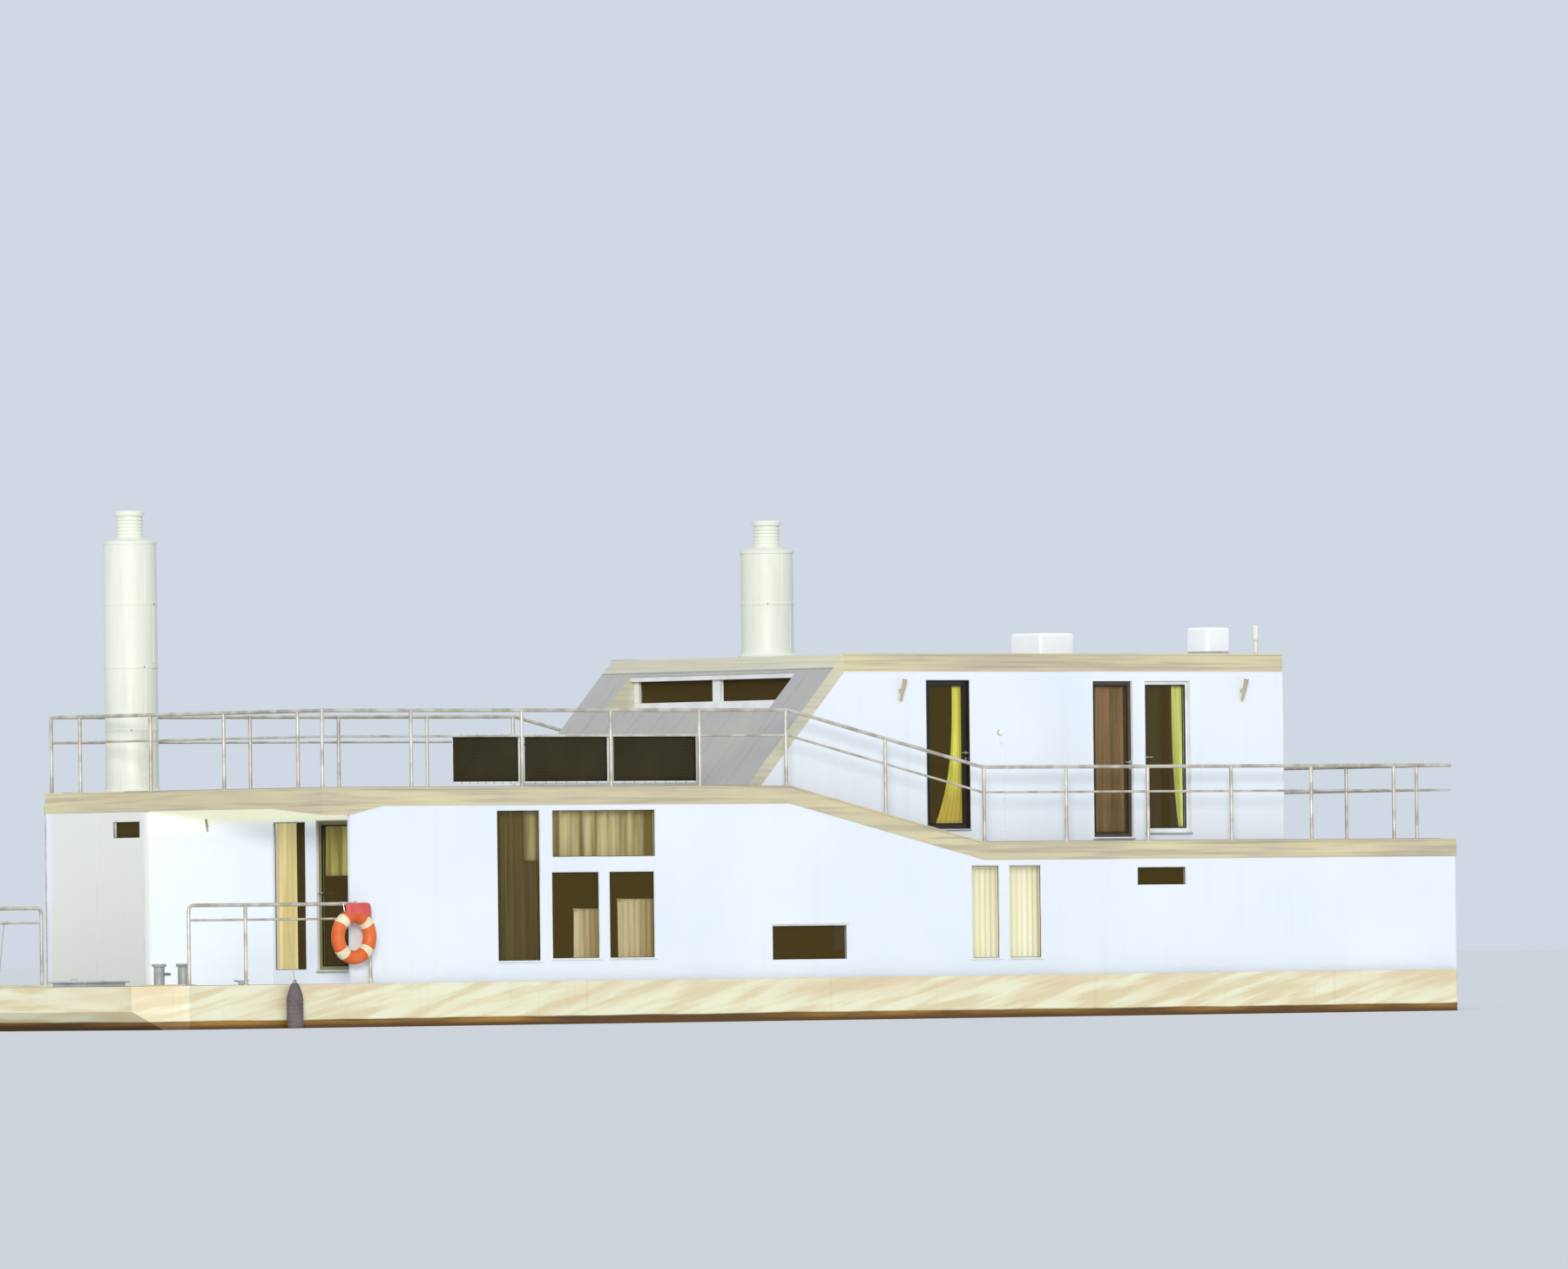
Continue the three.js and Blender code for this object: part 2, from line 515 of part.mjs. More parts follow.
// Chimneys: a wide insulated tube, a cone and a narrow flue. Each row: name, s, y, foot, tube top, flue top
const CHIMNEYS = [
  ["chimney_fore", 800, 2050, ROOF.fore + ROOF.depth, 6690, 7105],
  ["chimney_upper", 10625, 0, PENT.top, 6557, 6970],
];
const FLUE = {
  tube: 365, pipe: 175, collar: 420, collarHigh: 60, shoulder: 60, cap: 205, capHigh: 70, sides: 20,
};
for (const [name, s, y, foot, tubeTop, top] of CHIMNEYS) {
  const base = foot + GAP;
  place(name, turned([s, y], [
    [0, base], [FLUE.collar, base], [FLUE.collar, base + FLUE.collarHigh], [FLUE.tube, base + FLUE.collarHigh],
    [FLUE.tube, tubeTop], [FLUE.pipe, tubeTop + FLUE.shoulder], [FLUE.pipe, top - FLUE.capHigh],
    [FLUE.cap, top - FLUE.capHigh], [FLUE.cap, top], [0, top],
  ], FLUE.sides), "flue");
}

// Rooflights: a square curb under a slightly wider lid with eased edges. Each row: name, s, y, width, height
const ROOFLIGHTS = [
  ["rooflight_fore", 15790, 0, 655, 345],
  ["rooflight_aft", 17550, -1550, 450, 400],
];
const LID = { start: 0.15, overhang: 18, ease: 45, rows: 2 };
const CORNERS = [[-1, -1], [1, -1], [1, 1], [-1, 1]];
const square = (s, y, half) => CORNERS.map(([a, b]) => [s + a * half, y + b * half]);
for (const [name, s, y, width, height] of ROOFLIGHTS) {
  const base = PENT.top + GAP;
  const half = width / 2;
  const tiers = [planPrism(square(s, y, half - LID.overhang), [base, base + height * 0.5])];
  for (let row = 0; row <= LID.rows; row += 1) {
    const turn = (Math.PI / 2) * (row / LID.rows);
    const top = base + height - LID.ease * (1 - Math.sin(turn));
    const inset = LID.ease * (1 - Math.cos(turn));
    tiers.push(planPrism(square(s, y, half - inset), [base + height * LID.start, top]));
  }
  place(name, union(tiers), "flue");
}

// What hangs outside: a life ring on the foredeck rail, a fender each side, and the corner's rainwater pipe
const RING = { s: 380, z: 1225, radius: 280, tube: 98, sides: 12, segments: 28 };
function lifeRing() {
  const torus = new THREE.TorusGeometry(RING.radius, RING.tube, RING.sides, RING.segments);
  torus.rotateX(Math.PI / 2);
  torus.translate(X(RING.s), -FOREDECK.y - RAIL.radius - RING.tube - GAP, Z(RING.z));
  return solidOf(torus);
}
place("life_ring", lifeRing(), "ring");

const FENDER = { s: -700, radius: 115, z: [-20, 610], sides: 16, nose: 45 };
for (const [label, side] of [["near", -1], ["far", 1]]) {
  const [z0, z1] = FENDER.z;
  const y = side * (HULL.halfWidth + FENDER.radius + GAP);
  place(`fender_${label}`, turned([FENDER.s, y], [
    [0, z0], [FENDER.radius * 0.6, z0], [FENDER.radius, z0 + FENDER.nose],
    [FENDER.radius, z1 - FENDER.nose], [FENDER.radius * 0.6, z1], [0, z1],
  ], FENDER.sides), "rubber");
}

const PIPE = { s: 60, radius: 38 };
const pipeY = HOUSE.halfWidth + PIPE.radius + GAP;
const pipeEnds = [HULL.deck + GAP, ROOF.fore + 60].map((z) => [PIPE.s, pipeY, z]);
place("downpipe", bar(...pipeEnds, PIPE.radius, 12), "rail");

export default model;
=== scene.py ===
"""Looks of the houseboat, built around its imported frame.

Metres, +X towards the stern, +Y to the far side, +Z up.
"""
import bmesh
import bpy
import math
import random
from mathutils import Matrix, Vector


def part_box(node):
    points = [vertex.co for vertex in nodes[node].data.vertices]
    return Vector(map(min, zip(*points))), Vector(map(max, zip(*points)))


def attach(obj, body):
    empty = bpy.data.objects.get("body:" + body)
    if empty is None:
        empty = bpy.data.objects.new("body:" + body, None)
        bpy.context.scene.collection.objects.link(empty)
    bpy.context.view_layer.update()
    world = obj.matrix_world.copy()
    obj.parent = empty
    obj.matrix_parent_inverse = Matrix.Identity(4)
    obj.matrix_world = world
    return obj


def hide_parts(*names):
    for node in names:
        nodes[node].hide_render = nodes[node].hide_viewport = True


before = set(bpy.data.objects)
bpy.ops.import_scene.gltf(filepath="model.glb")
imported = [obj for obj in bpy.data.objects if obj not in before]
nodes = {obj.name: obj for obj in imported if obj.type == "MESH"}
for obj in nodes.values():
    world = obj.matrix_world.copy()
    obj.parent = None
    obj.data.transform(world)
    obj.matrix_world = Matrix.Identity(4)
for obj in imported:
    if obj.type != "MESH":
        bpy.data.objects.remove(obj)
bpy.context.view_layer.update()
PLEAT_SEED = 11
random.seed(PLEAT_SEED)

# Stations s run aft from the cabin's bow end, and heights z up from the waterline
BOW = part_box("wall_far")[0].x
WATER = 0.65
DECK = 0.59
HOUSE_Y = 2.95
UPPER_Y = 2.45
FORE_TOP, AFT_TOP, UPPER_TOP = 3.23, 2.43, 5.06
KINK, RAMP_FOOT, STERN_END = 8.41, 12.0, 21.0
NOSE, BROW, UPPER_END = 8.05, 9.87, 18.14
WALL, REBATE = 0.12, 0.03
ENTRY = 0.9


def at(s, y, z):
    return Vector((BOW + s, y, WATER + z))


def full_turn(count):
    """Equal angles once round, in radians."""
    return [2 * math.pi * k / count for k in range(count)]


def tint(code, gain=1.0):
    """A screen colour such as 0xC9BD9F as linear red, green and blue."""
    parts = [((code >> shift) & 255) / 255 for shift in (16, 8, 0)]
    return tuple(gain * (c / 12.92 if c <= 0.04045 else ((c + 0.055) / 1.055) ** 2.4) for c in parts)


# Camera at the photograph's viewing angle, from the pixel size and the known corner of the cabin
PHOTO_WIDTH, PHOTO_HEIGHT = 1800, 1457
FOCAL_PX = 22950
CORNER_PX = (372, 1095)
CORNER_DISTANCE = 270.0
LONG_SIDE_TURN = math.radians(40)
EYE_HEIGHT = 1.0
ROLL = math.radians(0.69)
SENSOR_MM = 36


def make_camera():
    across, down = CORNER_PX[0] - PHOTO_WIDTH / 2, CORNER_PX[1] - PHOTO_HEIGHT / 2
    level_across = across * math.cos(ROLL) - down * math.sin(ROLL)
    level_down = across * math.sin(ROLL) + down * math.cos(ROLL)
    heading = LONG_SIDE_TURN - math.atan(level_across / FOCAL_PX)
    pitch = math.atan(level_down / FOCAL_PX)
    level = math.cos(pitch)
    forward = Vector((math.sin(heading) * level, math.cos(heading) * level, math.sin(pitch)))
    right = Vector((math.cos(heading), -math.sin(heading), 0))
    up = right.cross(forward)
    rolled_right = right * math.cos(ROLL) - up * math.sin(ROLL)
    rolled_up = up * math.cos(ROLL) + right * math.sin(ROLL)
    reach = Vector((math.sin(LONG_SIDE_TURN), math.cos(LONG_SIDE_TURN), 0)) * CORNER_DISTANCE
    data = bpy.data.cameras.new("camera")
    data.sensor_width = SENSOR_MM
    data.lens = FOCAL_PX * SENSOR_MM / PHOTO_WIDTH
    data.clip_start, data.clip_end = 1, 4000
    camera = bpy.data.objects.new("camera", data)
    turn = Matrix((rolled_right, rolled_up, -forward)).transposed().to_4x4()
    camera.matrix_world = Matrix.Translation(at(0, -HOUSE_Y, EYE_HEIGHT) - reach) @ turn
    bpy.context.scene.collection.objects.link(camera)
    bpy.context.scene.camera = camera


make_camera()


class Finish:
    """One procedural material, whose patterns are laid out in the part's own metres."""

    def __init__(self, name, colour, roughness, metallic=0.0, **sockets):
        self.material = bpy.data.materials.new(name)
        self.material.use_nodes = True
        self.tree = self.material.node_tree
        self.shader = self.tree.nodes["Principled BSDF"]
        inputs = {"Base Color": colour, "Roughness": roughness, "Metallic": metallic, **sockets}
        self.fill(self.shader, inputs)
        source = self.node("ShaderNodeTexCoord")
        self.place, self.facing = source.outputs["Object"], source.outputs["Normal"]

    def fill(self, node, inputs):
        """Links or sets a node's inputs. A whole number on a colour input is a screen colour."""
        for key, value in inputs.items():
            socket = node.inputs[key]
            if isinstance(value, bpy.types.NodeSocket):
                self.tree.links.new(value, socket)
            elif socket.type == "RGBA":
                colour = tint(value) if isinstance(value, int) else value
                socket.default_value = (*colour[:3], 1)
            else:
                socket.default_value = value

    def node(self, kind, inputs=None, **settings):
        node = self.tree.nodes.new(kind)
        for key, value in settings.items():
            setattr(node, key, value)
        self.fill(node, inputs or {})
        return node

    def noise(self, scale, stretch=(1, 1, 1), detail=3.0, slant=0.0):
        """Cloudy noise. A slant tilts its lengthwise streaks up towards the stern by that many degrees."""
        source = self.place
        if slant:
            turn = (0, math.radians(slant), 0)
            source = self.node("ShaderNodeMapping", {"Vector": source, "Rotation": turn}).outputs[0]
        spread = self.node("ShaderNodeMapping", {"Vector": source, "Scale": stretch}).outputs[0]
        inputs = {"Vector": spread, "Scale": scale, "Detail": detail}
        return self.node("ShaderNodeTexNoise", inputs).outputs[0]

    def axis(self, letter, source=None):
        parts = self.node("ShaderNodeSeparateXYZ", {"Vector": source or self.place})
        return parts.outputs[letter]

    def level(self, value, low, high):
        """0 at low to 1 at high, eased."""
        inputs = {"Value": value, "From Min": low, "From Max": high}
        return self.node("ShaderNodeMapRange", inputs, interpolation_type="SMOOTHSTEP").outputs[0]

    def patches(self, low, high, *noise, **settings):
        """Cloudy noise, 0 where it is under low and 1 where it is over high."""
        return self.level(self.noise(*noise, **settings), low, high)

    def math(self, operation, a, b=0.0):
        return self.node("ShaderNodeMath", {0: a, 1: b}, operation=operation).outputs[0]

    def times(self, a, b):
        return self.math("MULTIPLY", a, b)

    def over(self, value, limit):
        """1 where the value is over the limit, and 0 elsewhere."""
        return self.math("GREATER_THAN", value, limit)

    def mix(self, factor, a, b):
        return self.node("ShaderNodeMix", {0: factor, 6: a, 7: b}, data_type="RGBA").outputs[2]

    def stripes(self, letter, pitch, line, shift=0.0):
        """1 on thin lines that lie a pitch apart along an axis, and 0 between them."""
        place = self.math("ADD", self.axis(letter), 100 * pitch + shift)
        turns = self.math("FRACT", self.math("DIVIDE", place, pitch))
        return self.math("LESS_THAN", turns, line / pitch)

    def colour(self, socket):
        self.fill(self.shader, {"Base Color": socket})

    def rough(self, amount, low, high):
        spread = self.node("ShaderNodeMapRange", {"Value": amount, "To Min": low, "To Max": high})
        self.fill(self.shader, {"Roughness": spread.outputs[0]})

    def bump(self, height, distance, strength=1.0):
        inputs = {"Height": height, "Distance": distance, "Strength": strength}
        before = self.shader.inputs["Normal"].links
        if before:
            inputs["Normal"] = before[0].from_socket
        self.fill(self.shader, {"Normal": self.node("ShaderNodeBump", inputs).outputs[0]})


# Finishes
EVERYWHERE = -50.0


def wall_paint(name, inward, lined_from, porch=False):
    """White satin paint outside, with rain streaks and a dusty foot, and timber lining on the inner face.

    The lining starts at lined_from along X. In the porch a glow stands for light thrown up from below.
    """
    made = Finish(name, 0xF1F5FA, 0.5)
    streaks = made.times(made.patches(0.55, 0.8, 1.6, (3, 3, 0.22), 5), 0.10)
    height = made.axis("Z")
    patchy = made.patches(0.3, 0.7, 3, (1, 1, 2))
    foot = made.times(made.level(height, WATER + DECK + 0.22, WATER + DECK), patchy)
    clean = made.mix(made.patches(0.35, 0.75, 0.35), 0xF2F6FB, 0xE9EFF5)
    behind = made.level(made.axis("X"), BOW + 0.01, BOW + 0.05)
    # Painted shade: the bow end's outer face takes a warmer, duller white for the shade tone of that face
    if porch:
        clean = made.mix(behind, 0xEFEEE6, clean)
    dusty = made.mix(made.math("MAXIMUM", streaks, made.times(foot, 0.10)), clean, 0xCFC8B2)
    grain = made.noise(5, (1, 1, 14), 4)
    timber = made.mix(grain, 0x6E5436, 0x8E6E48)
    towards = made.node("ShaderNodeVectorMath", {0: made.facing, 1: inward}, operation="DOT_PRODUCT")
    inner = made.over(towards.outputs["Value"], 0.35)
    lined = made.times(inner, made.over(made.axis("X"), lined_from))
    made.colour(made.mix(lined, dusty, timber))
    if porch:
        rise = made.level(height, WATER + 2.58, WATER + 2.92)
        warmth = made.level(height, WATER + 2.70, WATER + 2.86)
        amount = made.math("ADD", made.times(rise, 0.75), 0.25)
        amount = made.times(made.times(behind, made.math("SUBTRACT", 1.0, lined)), amount)
        bounce = made.mix(warmth, (0.85, 0.95, 1.0), (1.0, 0.99, 0.60))
        made.fill(made.shader, {
            "Emission Color": made.mix(amount, (0.0, 0.0, 0.0), bounce), "Emission Strength": 0.58})
    made.rough(made.noise(2.5), 0.38, 0.62)
    made.bump(made.noise(240, detail=2), 0.0006, 0.4)
    made.bump(made.noise(0.9), 0.004, 0.5)
    return made.material


def hull_paint():
    """Cream side with slanting painted water reflections, slanting tan blotches, a brown boot-top, grey-green
    deck, timber cabin floor.
    """
    made = Finish("hull_paint", 0xE9E2C4, 0.55)
    height, up = made.axis("Z"), made.axis("Z", made.facing)
    wander = made.math("SUBTRACT", made.noise(0.5, (1, 1, 0.2), 6), 0.5)
    ragged = made.math("ADD", height, made.times(wander, 0.06))
    # Painted reflection: slanting light and dark patches stand in for light thrown onto the hull by the water
    water_reflection_patches = made.patches(0.42, 0.62, 2.6, (0.25, 0.25, 2.6), 7, slant=13)
    blush = made.patches(0.38, 0.66, 1.6, (0.25, 0.25, 2.0), 7, slant=9)
    tan = made.times(made.level(height, WATER + 0.10, WATER + DECK), blush)
    side = made.mix(water_reflection_patches, 0xF0EECF, 0xE2D4AC)
    side = made.mix(made.times(tan, 0.7), side, 0xE2C7A2)
    runs = made.patches(0.6, 0.85, 2.2, (4, 4, 0.16), 5)
    side = made.mix(made.times(runs, 0.25), side, 0xB79A68)
    boot = made.mix(made.patches(0.35, 0.7, 1.2, (0.4, 0.4, 5), 5), 0x5A3E10, 0xA87A2C)
    boot = made.mix(made.level(height, WATER + 0.085, WATER + 0.02), boot, 0x5A3C12)
    side = made.mix(made.level(ragged, WATER + 0.128, WATER + 0.104), side, boot)
    deck = made.mix(made.patches(0.35, 0.7, 1.1, detail=5), 0x7E857F, 0x5F665F)
    boards = made.mix(made.noise(4, (0.4, 6, 1), 5), 0x6B4B2E, 0x8A6642)
    boards = made.mix(made.stripes("Y", 0.14, 0.004), boards, 0x2E1F12)
    sunken = made.math("LESS_THAN", height, WATER + DECK - 0.2)
    top = made.mix(sunken, deck, boards)
    made.colour(made.mix(made.over(up, 0.5), side, top))
    made.rough(made.noise(3), 0.4, 0.75)
    made.bump(made.stripes("X", 2.0, 0.012, 0.4), 0.003, 0.7)
    made.bump(made.noise(0.7, (1, 1, 0.6)), 0.02, 0.6)
    made.bump(made.noise(160), 0.0008, 0.5)
    return made.material


def streaked_beige(made):
    """The edge sheet's colour: cloudy beige with thin, nearly level rain and dust lines."""
    cloud = made.patches(0.3, 0.75, 0.8, (0.5, 0.5, 2.5), 6)
    lines = made.patches(0.44, 0.66, 2.4, (0.22, 0.22, 9), 5)
    base = made.mix(cloud, 0xE0D5AA, 0xC8BBA0)
    base = made.mix(made.times(lines, 0.55), base, 0xA99A8A)
    warm = made.patches(0.5, 0.75, 0.6, (0.6, 0.6, 1.5), 4)
    return made.mix(made.times(warm, 0.4), base, 0xE8DAA0)


def edge_sheet():
    """Grey-beige edge sheet with long level streaks, dark mineral felt on top and a darker underside of
    painted shade.
    """
    made = Finish("fascia", 0xC4BCA2, 0.5)
    grey = 0x6E706C
    up = made.axis("Z", made.facing)
    side = streaked_beige(made)
    felt = made.mix(made.noise(90, detail=2), tint(grey, 0.7), tint(grey, 1.3))
    felt = made.mix(made.times(made.patches(0.4, 0.7, 0.8), 0.5), felt, 0x55574F)
    # Painted shade: faces turned downwards take a darker brown-grey, standing in for the shade under
    # overhangs and ceilings
    underside_shade = made.mix(made.noise(3, (6, 0.6, 1)), 0x8F866E, 0x6E6652)
    face = made.mix(made.over(up, 0.4), side, felt)
    vent = made.over(made.axis("Z"), WATER + UPPER_TOP + 0.03)
    face = made.mix(vent, face, 0xF4F1DC)
    made.colour(made.mix(made.math("LESS_THAN", up, -0.4), face, underside_shade))
    made.rough(made.noise(4), 0.42, 0.7)
    made.bump(made.noise(120, detail=2), 0.0012, 0.5)
    return made.material


BROW_BAND = 0.19


def zinc(name, trimmed):
    """Matt rolled sheet with soft clouding and faint runs. Trimmed sheet has a beige brow band and sides."""
    base = 0xB5B2AF
    made = Finish(name, base, 0.5, 0.1)
    cloud = made.patches(0.3, 0.75, 0.9, (1, 1, 0.5), 6)
    runs = made.times(made.patches(0.5, 0.8, 3.5, (1, 5, 0.2), 4), 0.3)
    sheet = made.mix(cloud, base, 0xC0BDB3)
    sheet = made.mix(runs, sheet, 0x969390)
    band = made.over(made.axis("Z"), WATER + UPPER_TOP - BROW_BAND)
    side = made.over(made.math("ABSOLUTE", made.axis("Y", made.facing)), 0.5)
    trim = made.mix(0.45, streaked_beige(made), 0xDEDFCE)
    made.colour(made.mix(made.math("MAXIMUM", band, side), sheet, trim) if trimmed else sheet)
    made.rough(cloud, 0.42, 0.65)
    made.bump(made.noise(1.4), 0.006, 0.5)
    return made.material


def tube_metal():
    """Galvanised tube with a fine spangle and duller patches."""
    made = Finish("galvanised", 0xC9CDCD, 0.4, 0.45)
    spangle = made.node("ShaderNodeTexVoronoi", {"Vector": made.place, "Scale": 70}).outputs["Color"]
    patch = made.patches(0.35, 0.7, 4)
    base = made.mix(patch, 0xE2DBCC, 0xBAAF9D)
    made.colour(made.mix(0.05, base, spangle))
    made.rough(patch, 0.32, 0.55)
    return made.material


def plain_finish(name, colour, roughness, metallic=0.0, worn=None, grain=25, depth=0.0004, **sockets):
    """A painted, moulded or rubber surface: two near tones in patches, varied gloss and a fine grain."""
    made = Finish(name, colour, roughness, metallic, **sockets)
    patch = made.patches(0.35, 0.75, 3, detail=5)
    made.colour(made.mix(patch, colour, worn or tint(colour, 0.85)))
    made.rough(patch, roughness * 0.8, min(1, roughness * 1.25))
    made.bump(made.noise(grain, detail=4), depth, 0.5)
    return made.material


def flue_sheet():
    """Pale wrapped sheet with slight dents and faint runs."""
    made = Finish("flue", 0xEDF0E4, 0.4)
    runs = made.times(made.patches(0.5, 0.8, 5, (3, 3, 0.25), 5), 0.3)
    made.colour(made.mix(runs, 0xEDEFDF, 0xCFCCB0))
    made.rough(made.noise(3), 0.3, 0.55)
    made.bump(made.noise(6, (1, 1, 0.6)), 0.006, 0.6)
    return made.material


THREAD_PITCH = 0.003


def cloth(name, light, dark, broad=7, glow=0.0, hem=None):
    """Woven curtain cloth: crossed threads, lengthwise shading and soft sheen.

    A glow is light through thin cloth. A hem is the duller tone that a curtain takes towards its foot.
    """
    threads = 1 / THREAD_PITCH
    sheen = {"Sheen Weight": 0.3, "Emission Color": light, "Emission Strength": glow}
    made = Finish(name, light, 0.85, **sheen)
    shade = made.patches(0.36, 0.62, broad, (1, 1, 0.05), 3)
    tone = made.mix(shade, light, dark)
    if hem:
        tone = made.mix(made.level(made.axis("Z"), WATER + 3.5, WATER + 2.8), tone, hem)
    made.colour(tone)
    weft, warp = (made.noise(threads, stretch, 1) for stretch in ((1, 1, 0.25), (0.25, 0.25, 1)))
    made.bump(made.math("ADD", weft, warp), 0.0006, 0.6)
    return made.material


def mesh_fabric():
    """Dark windbreak mesh with a visible open weave and light creases."""
    made = Finish("windbreak_mesh", 0x1E1D18, 0.9, **{"Specular IOR Level": 0.1})
    crossing = made.math("MAXIMUM", *(made.stripes(letter, 0.016, 0.006) for letter in "XZ"))
    fade = made.patches(0.35, 0.75, 1.5, (1, 1, 0.7), 5)
    made.colour(made.mix(crossing, made.mix(fade, 0x19170E, 0x352F1E), 0x423C28))
    made.bump(crossing, 0.001, 0.8)
    made.bump(made.noise(2.2, (1, 1, 2)), 0.02, 0.6)
    return made.material


def window_glass(name, colour, cover):
    """Clear double glazing with a glossy, faintly bronze face. The cover is how much tone a face adds."""
    gloss = {"Alpha": cover, "Specular IOR Level": 0.28, "Specular Tint": (1.0, 0.9, 0.6), "IOR": 1.5}
    made = Finish(name, colour, 0.04, **gloss)
    made.bump(made.noise(0.8), 0.003, 0.25)
    return made.material


BOARD_PITCH = 0.145


def weathered_boards():
    """Silvered terrace boards with grain along their length and some darker ones."""
    made = Finish("terrace_boards", 0x9A9284, 0.75)
    grain = made.noise(9, (0.25, 9, 1), 6)
    row = made.math("FLOOR", made.math("DIVIDE", made.axis("Y"), BOARD_PITCH))
    board = made.node("ShaderNodeTexWhiteNoise", {"W": row}, noise_dimensions="1D").outputs[0]
    tone = made.mix(grain, 0xA79E8E, 0x7C7466)
    made.colour(made.mix(made.times(board, 0.35), tone, 0x6B6254))
    made.rough(grain, 0.6, 0.85)
    made.bump(grain, 0.0015, 0.6)
    return made.material


def rope_finish(name, light, dark):
    made = Finish(name, light, 0.8)
    lay = made.noise(260, detail=2)
    made.colour(made.mix(lay, light, dark))
    made.bump(lay, 0.001, 0.8)
    return made.material


FINISH = {
    "hull": hull_paint(),
    "fascia": edge_sheet(),
    "zinc": zinc("zinc", True),
    "seam": zinc("zinc_seam", False),
    "tube": tube_metal(),
    "white": plain_finish("window_white", 0xF2F3F2, 0.35, 0.0, 0xE2E3DF),
    "sill": plain_finish("sill_aluminium", 0xD8DADA, 0.35, 0.5, 0xBDBFBE),
    "dark": plain_finish("door_dark", 0x211C16, 0.45, 0.0, 0x2E2820),
    "leaf_brown": plain_finish("leaf_brown", 0x4A3A2E, 0.45, 0.0, 0x5A483A),
    "leaf_olive": plain_finish("leaf_olive", 0x8A8650, 0.45, 0.0, 0x9A9664),
    "steel": plain_finish("handle_steel", 0xC4C6C8, 0.25, 0.9, 0xA8ABAD),
    "black": plain_finish("seal_black", 0x17181A, 0.7),
    "flue": flue_sheet(),
    # Painted light: the rooflight lid glows faintly though it is no lamp, to look a brighter white; the lamp
    # lenses share this finish
    "lid": plain_finish("rooflight_lid_painted_glow", 0xF9FAFA, 0.3, 0.0, 0xF0F2EE, **{
        "Subsurface Weight": 0.05, "Emission Color": 0xF4F7FA, "Emission Strength": 0.12}),
    "lamp": plain_finish("lamp_shell", 0xC4B492, 0.45, 0.1, 0xA08F70),
    "ring": plain_finish("ring_orange", 0xE9702F, 0.55, 0.0, 0xD65A20, 90, 0.0008),
    "band": plain_finish("ring_white", 0xF2EAC8, 0.6, 0.0, 0xE4D9B0, 90, 0.0008),
    "bag": plain_finish("bag_red", 0xDC4632, 0.65, 0.0, 0xE07070, 60, 0.0008),
    "rubber": plain_finish("fender_rubber", 0x5A4F52, 0.7, 0.0, 0x756A68, 60, 0.001),
    "gear": plain_finish("deck_gear_paint", 0xB9BAB2, 0.5, 0.1, 0x8E8E84),
    "boards": weathered_boards(),
    "rope": rope_finish("rope_pale", 0xCFC7B0, 0x9C927A),
    "mesh": mesh_fabric(),
    "glass": window_glass("window_glass", 0x927A3C, 0.12),
    # Painted shade: far and stern glass is a near-opaque dark brown standing in for the dark rooms behind, so
    # no light shows through
    "glass_far": window_glass("window_glass_far_painted_dark", 0x241F14, 0.85),
    "green": cloth("curtain_green", 0xF4F476, 0xB6B434, glow=0.13, hem=0xC8A83C),
    "lime": cloth("curtain_lime", 0xF2F8A4, 0xB4C050, glow=0.13),
    "olive": cloth("curtain_olive", 0xE0D6A0, 0x6A6020, broad=5, glow=0.04),
    "porch": cloth("curtain_porch", 0xF4E6B0, 0xB8A866, broad=4, glow=0.46),
    "moss": cloth("curtain_moss", 0xC6BE6C, 0x68621C, broad=6, glow=0.14),
    "shade": cloth("curtain_shade", 0x4C4614, 0x26220A),
    "brown": cloth("curtain_brown", 0x94704E, 0x5E4A2C),
    "cream": cloth("curtain_cream", 0xFCFCE2, 0xF6F3CC, glow=0.24),
    "tan": cloth("curtain_tan", 0xE4D4AC, 0xB69E6C, broad=5, glow=0.04),
}
INWARD = {
    "wall_near": (0, 1, 0), "wall_far": (0, -1, 0), "wall_bow": (1, 0, 0), "wall_stern": (-1, 0, 0),
    "upper_wall_near": (0, 1, 0), "upper_wall_far": (0, -1, 0), "upper_wall_stern": (-1, 0, 0),
}


def dress_node(name, material):
    nodes[name].data.materials.clear()
    nodes[name].data.materials.append(material)


LEAF_FINISH = {"door_aft_left": "leaf_brown", "door_aft_right": "white", "door_entry": "leaf_olive"}


def dress_nodes():
    for name, inward in INWARD.items():
        start = BOW + ENTRY - 0.001 if name == "wall_near" else EVERYWHERE
        dress_node(name, wall_paint("paint_" + name, inward, start, porch=name == "wall_bow"))
    dress_node("hull", FINISH["hull"])
    for name in ("roof_fore", "roof_aft", "ramp_near", "ramp_far", "upper_roof"):
        dress_node(name, FINISH["fascia"])
    dress_node("upper_slope", FINISH["zinc"])
    for name in nodes:
        if name.startswith("glass_") or name.endswith("_glass"):
            dress_node(name, FINISH["glass_far" if "far" in name or "stern" in name else "glass"])
        elif name.startswith("door_"):
            dress_node(name, FINISH[LEAF_FINISH.get(name, "dark")])


dress_nodes()


class Plane:
    """A face to build on: u along it, v up it and w out of it, from an origin in the row frame."""

    def __init__(self, origin, along, out, up=(0, 0, 1)):
        self.origin, self.along, self.out, self.up = Vector(origin), Vector(along), Vector(out), Vector(up)

    def __call__(self, u, v, w=0.0):
        return self.origin + self.along * u + self.up * v + self.out * w


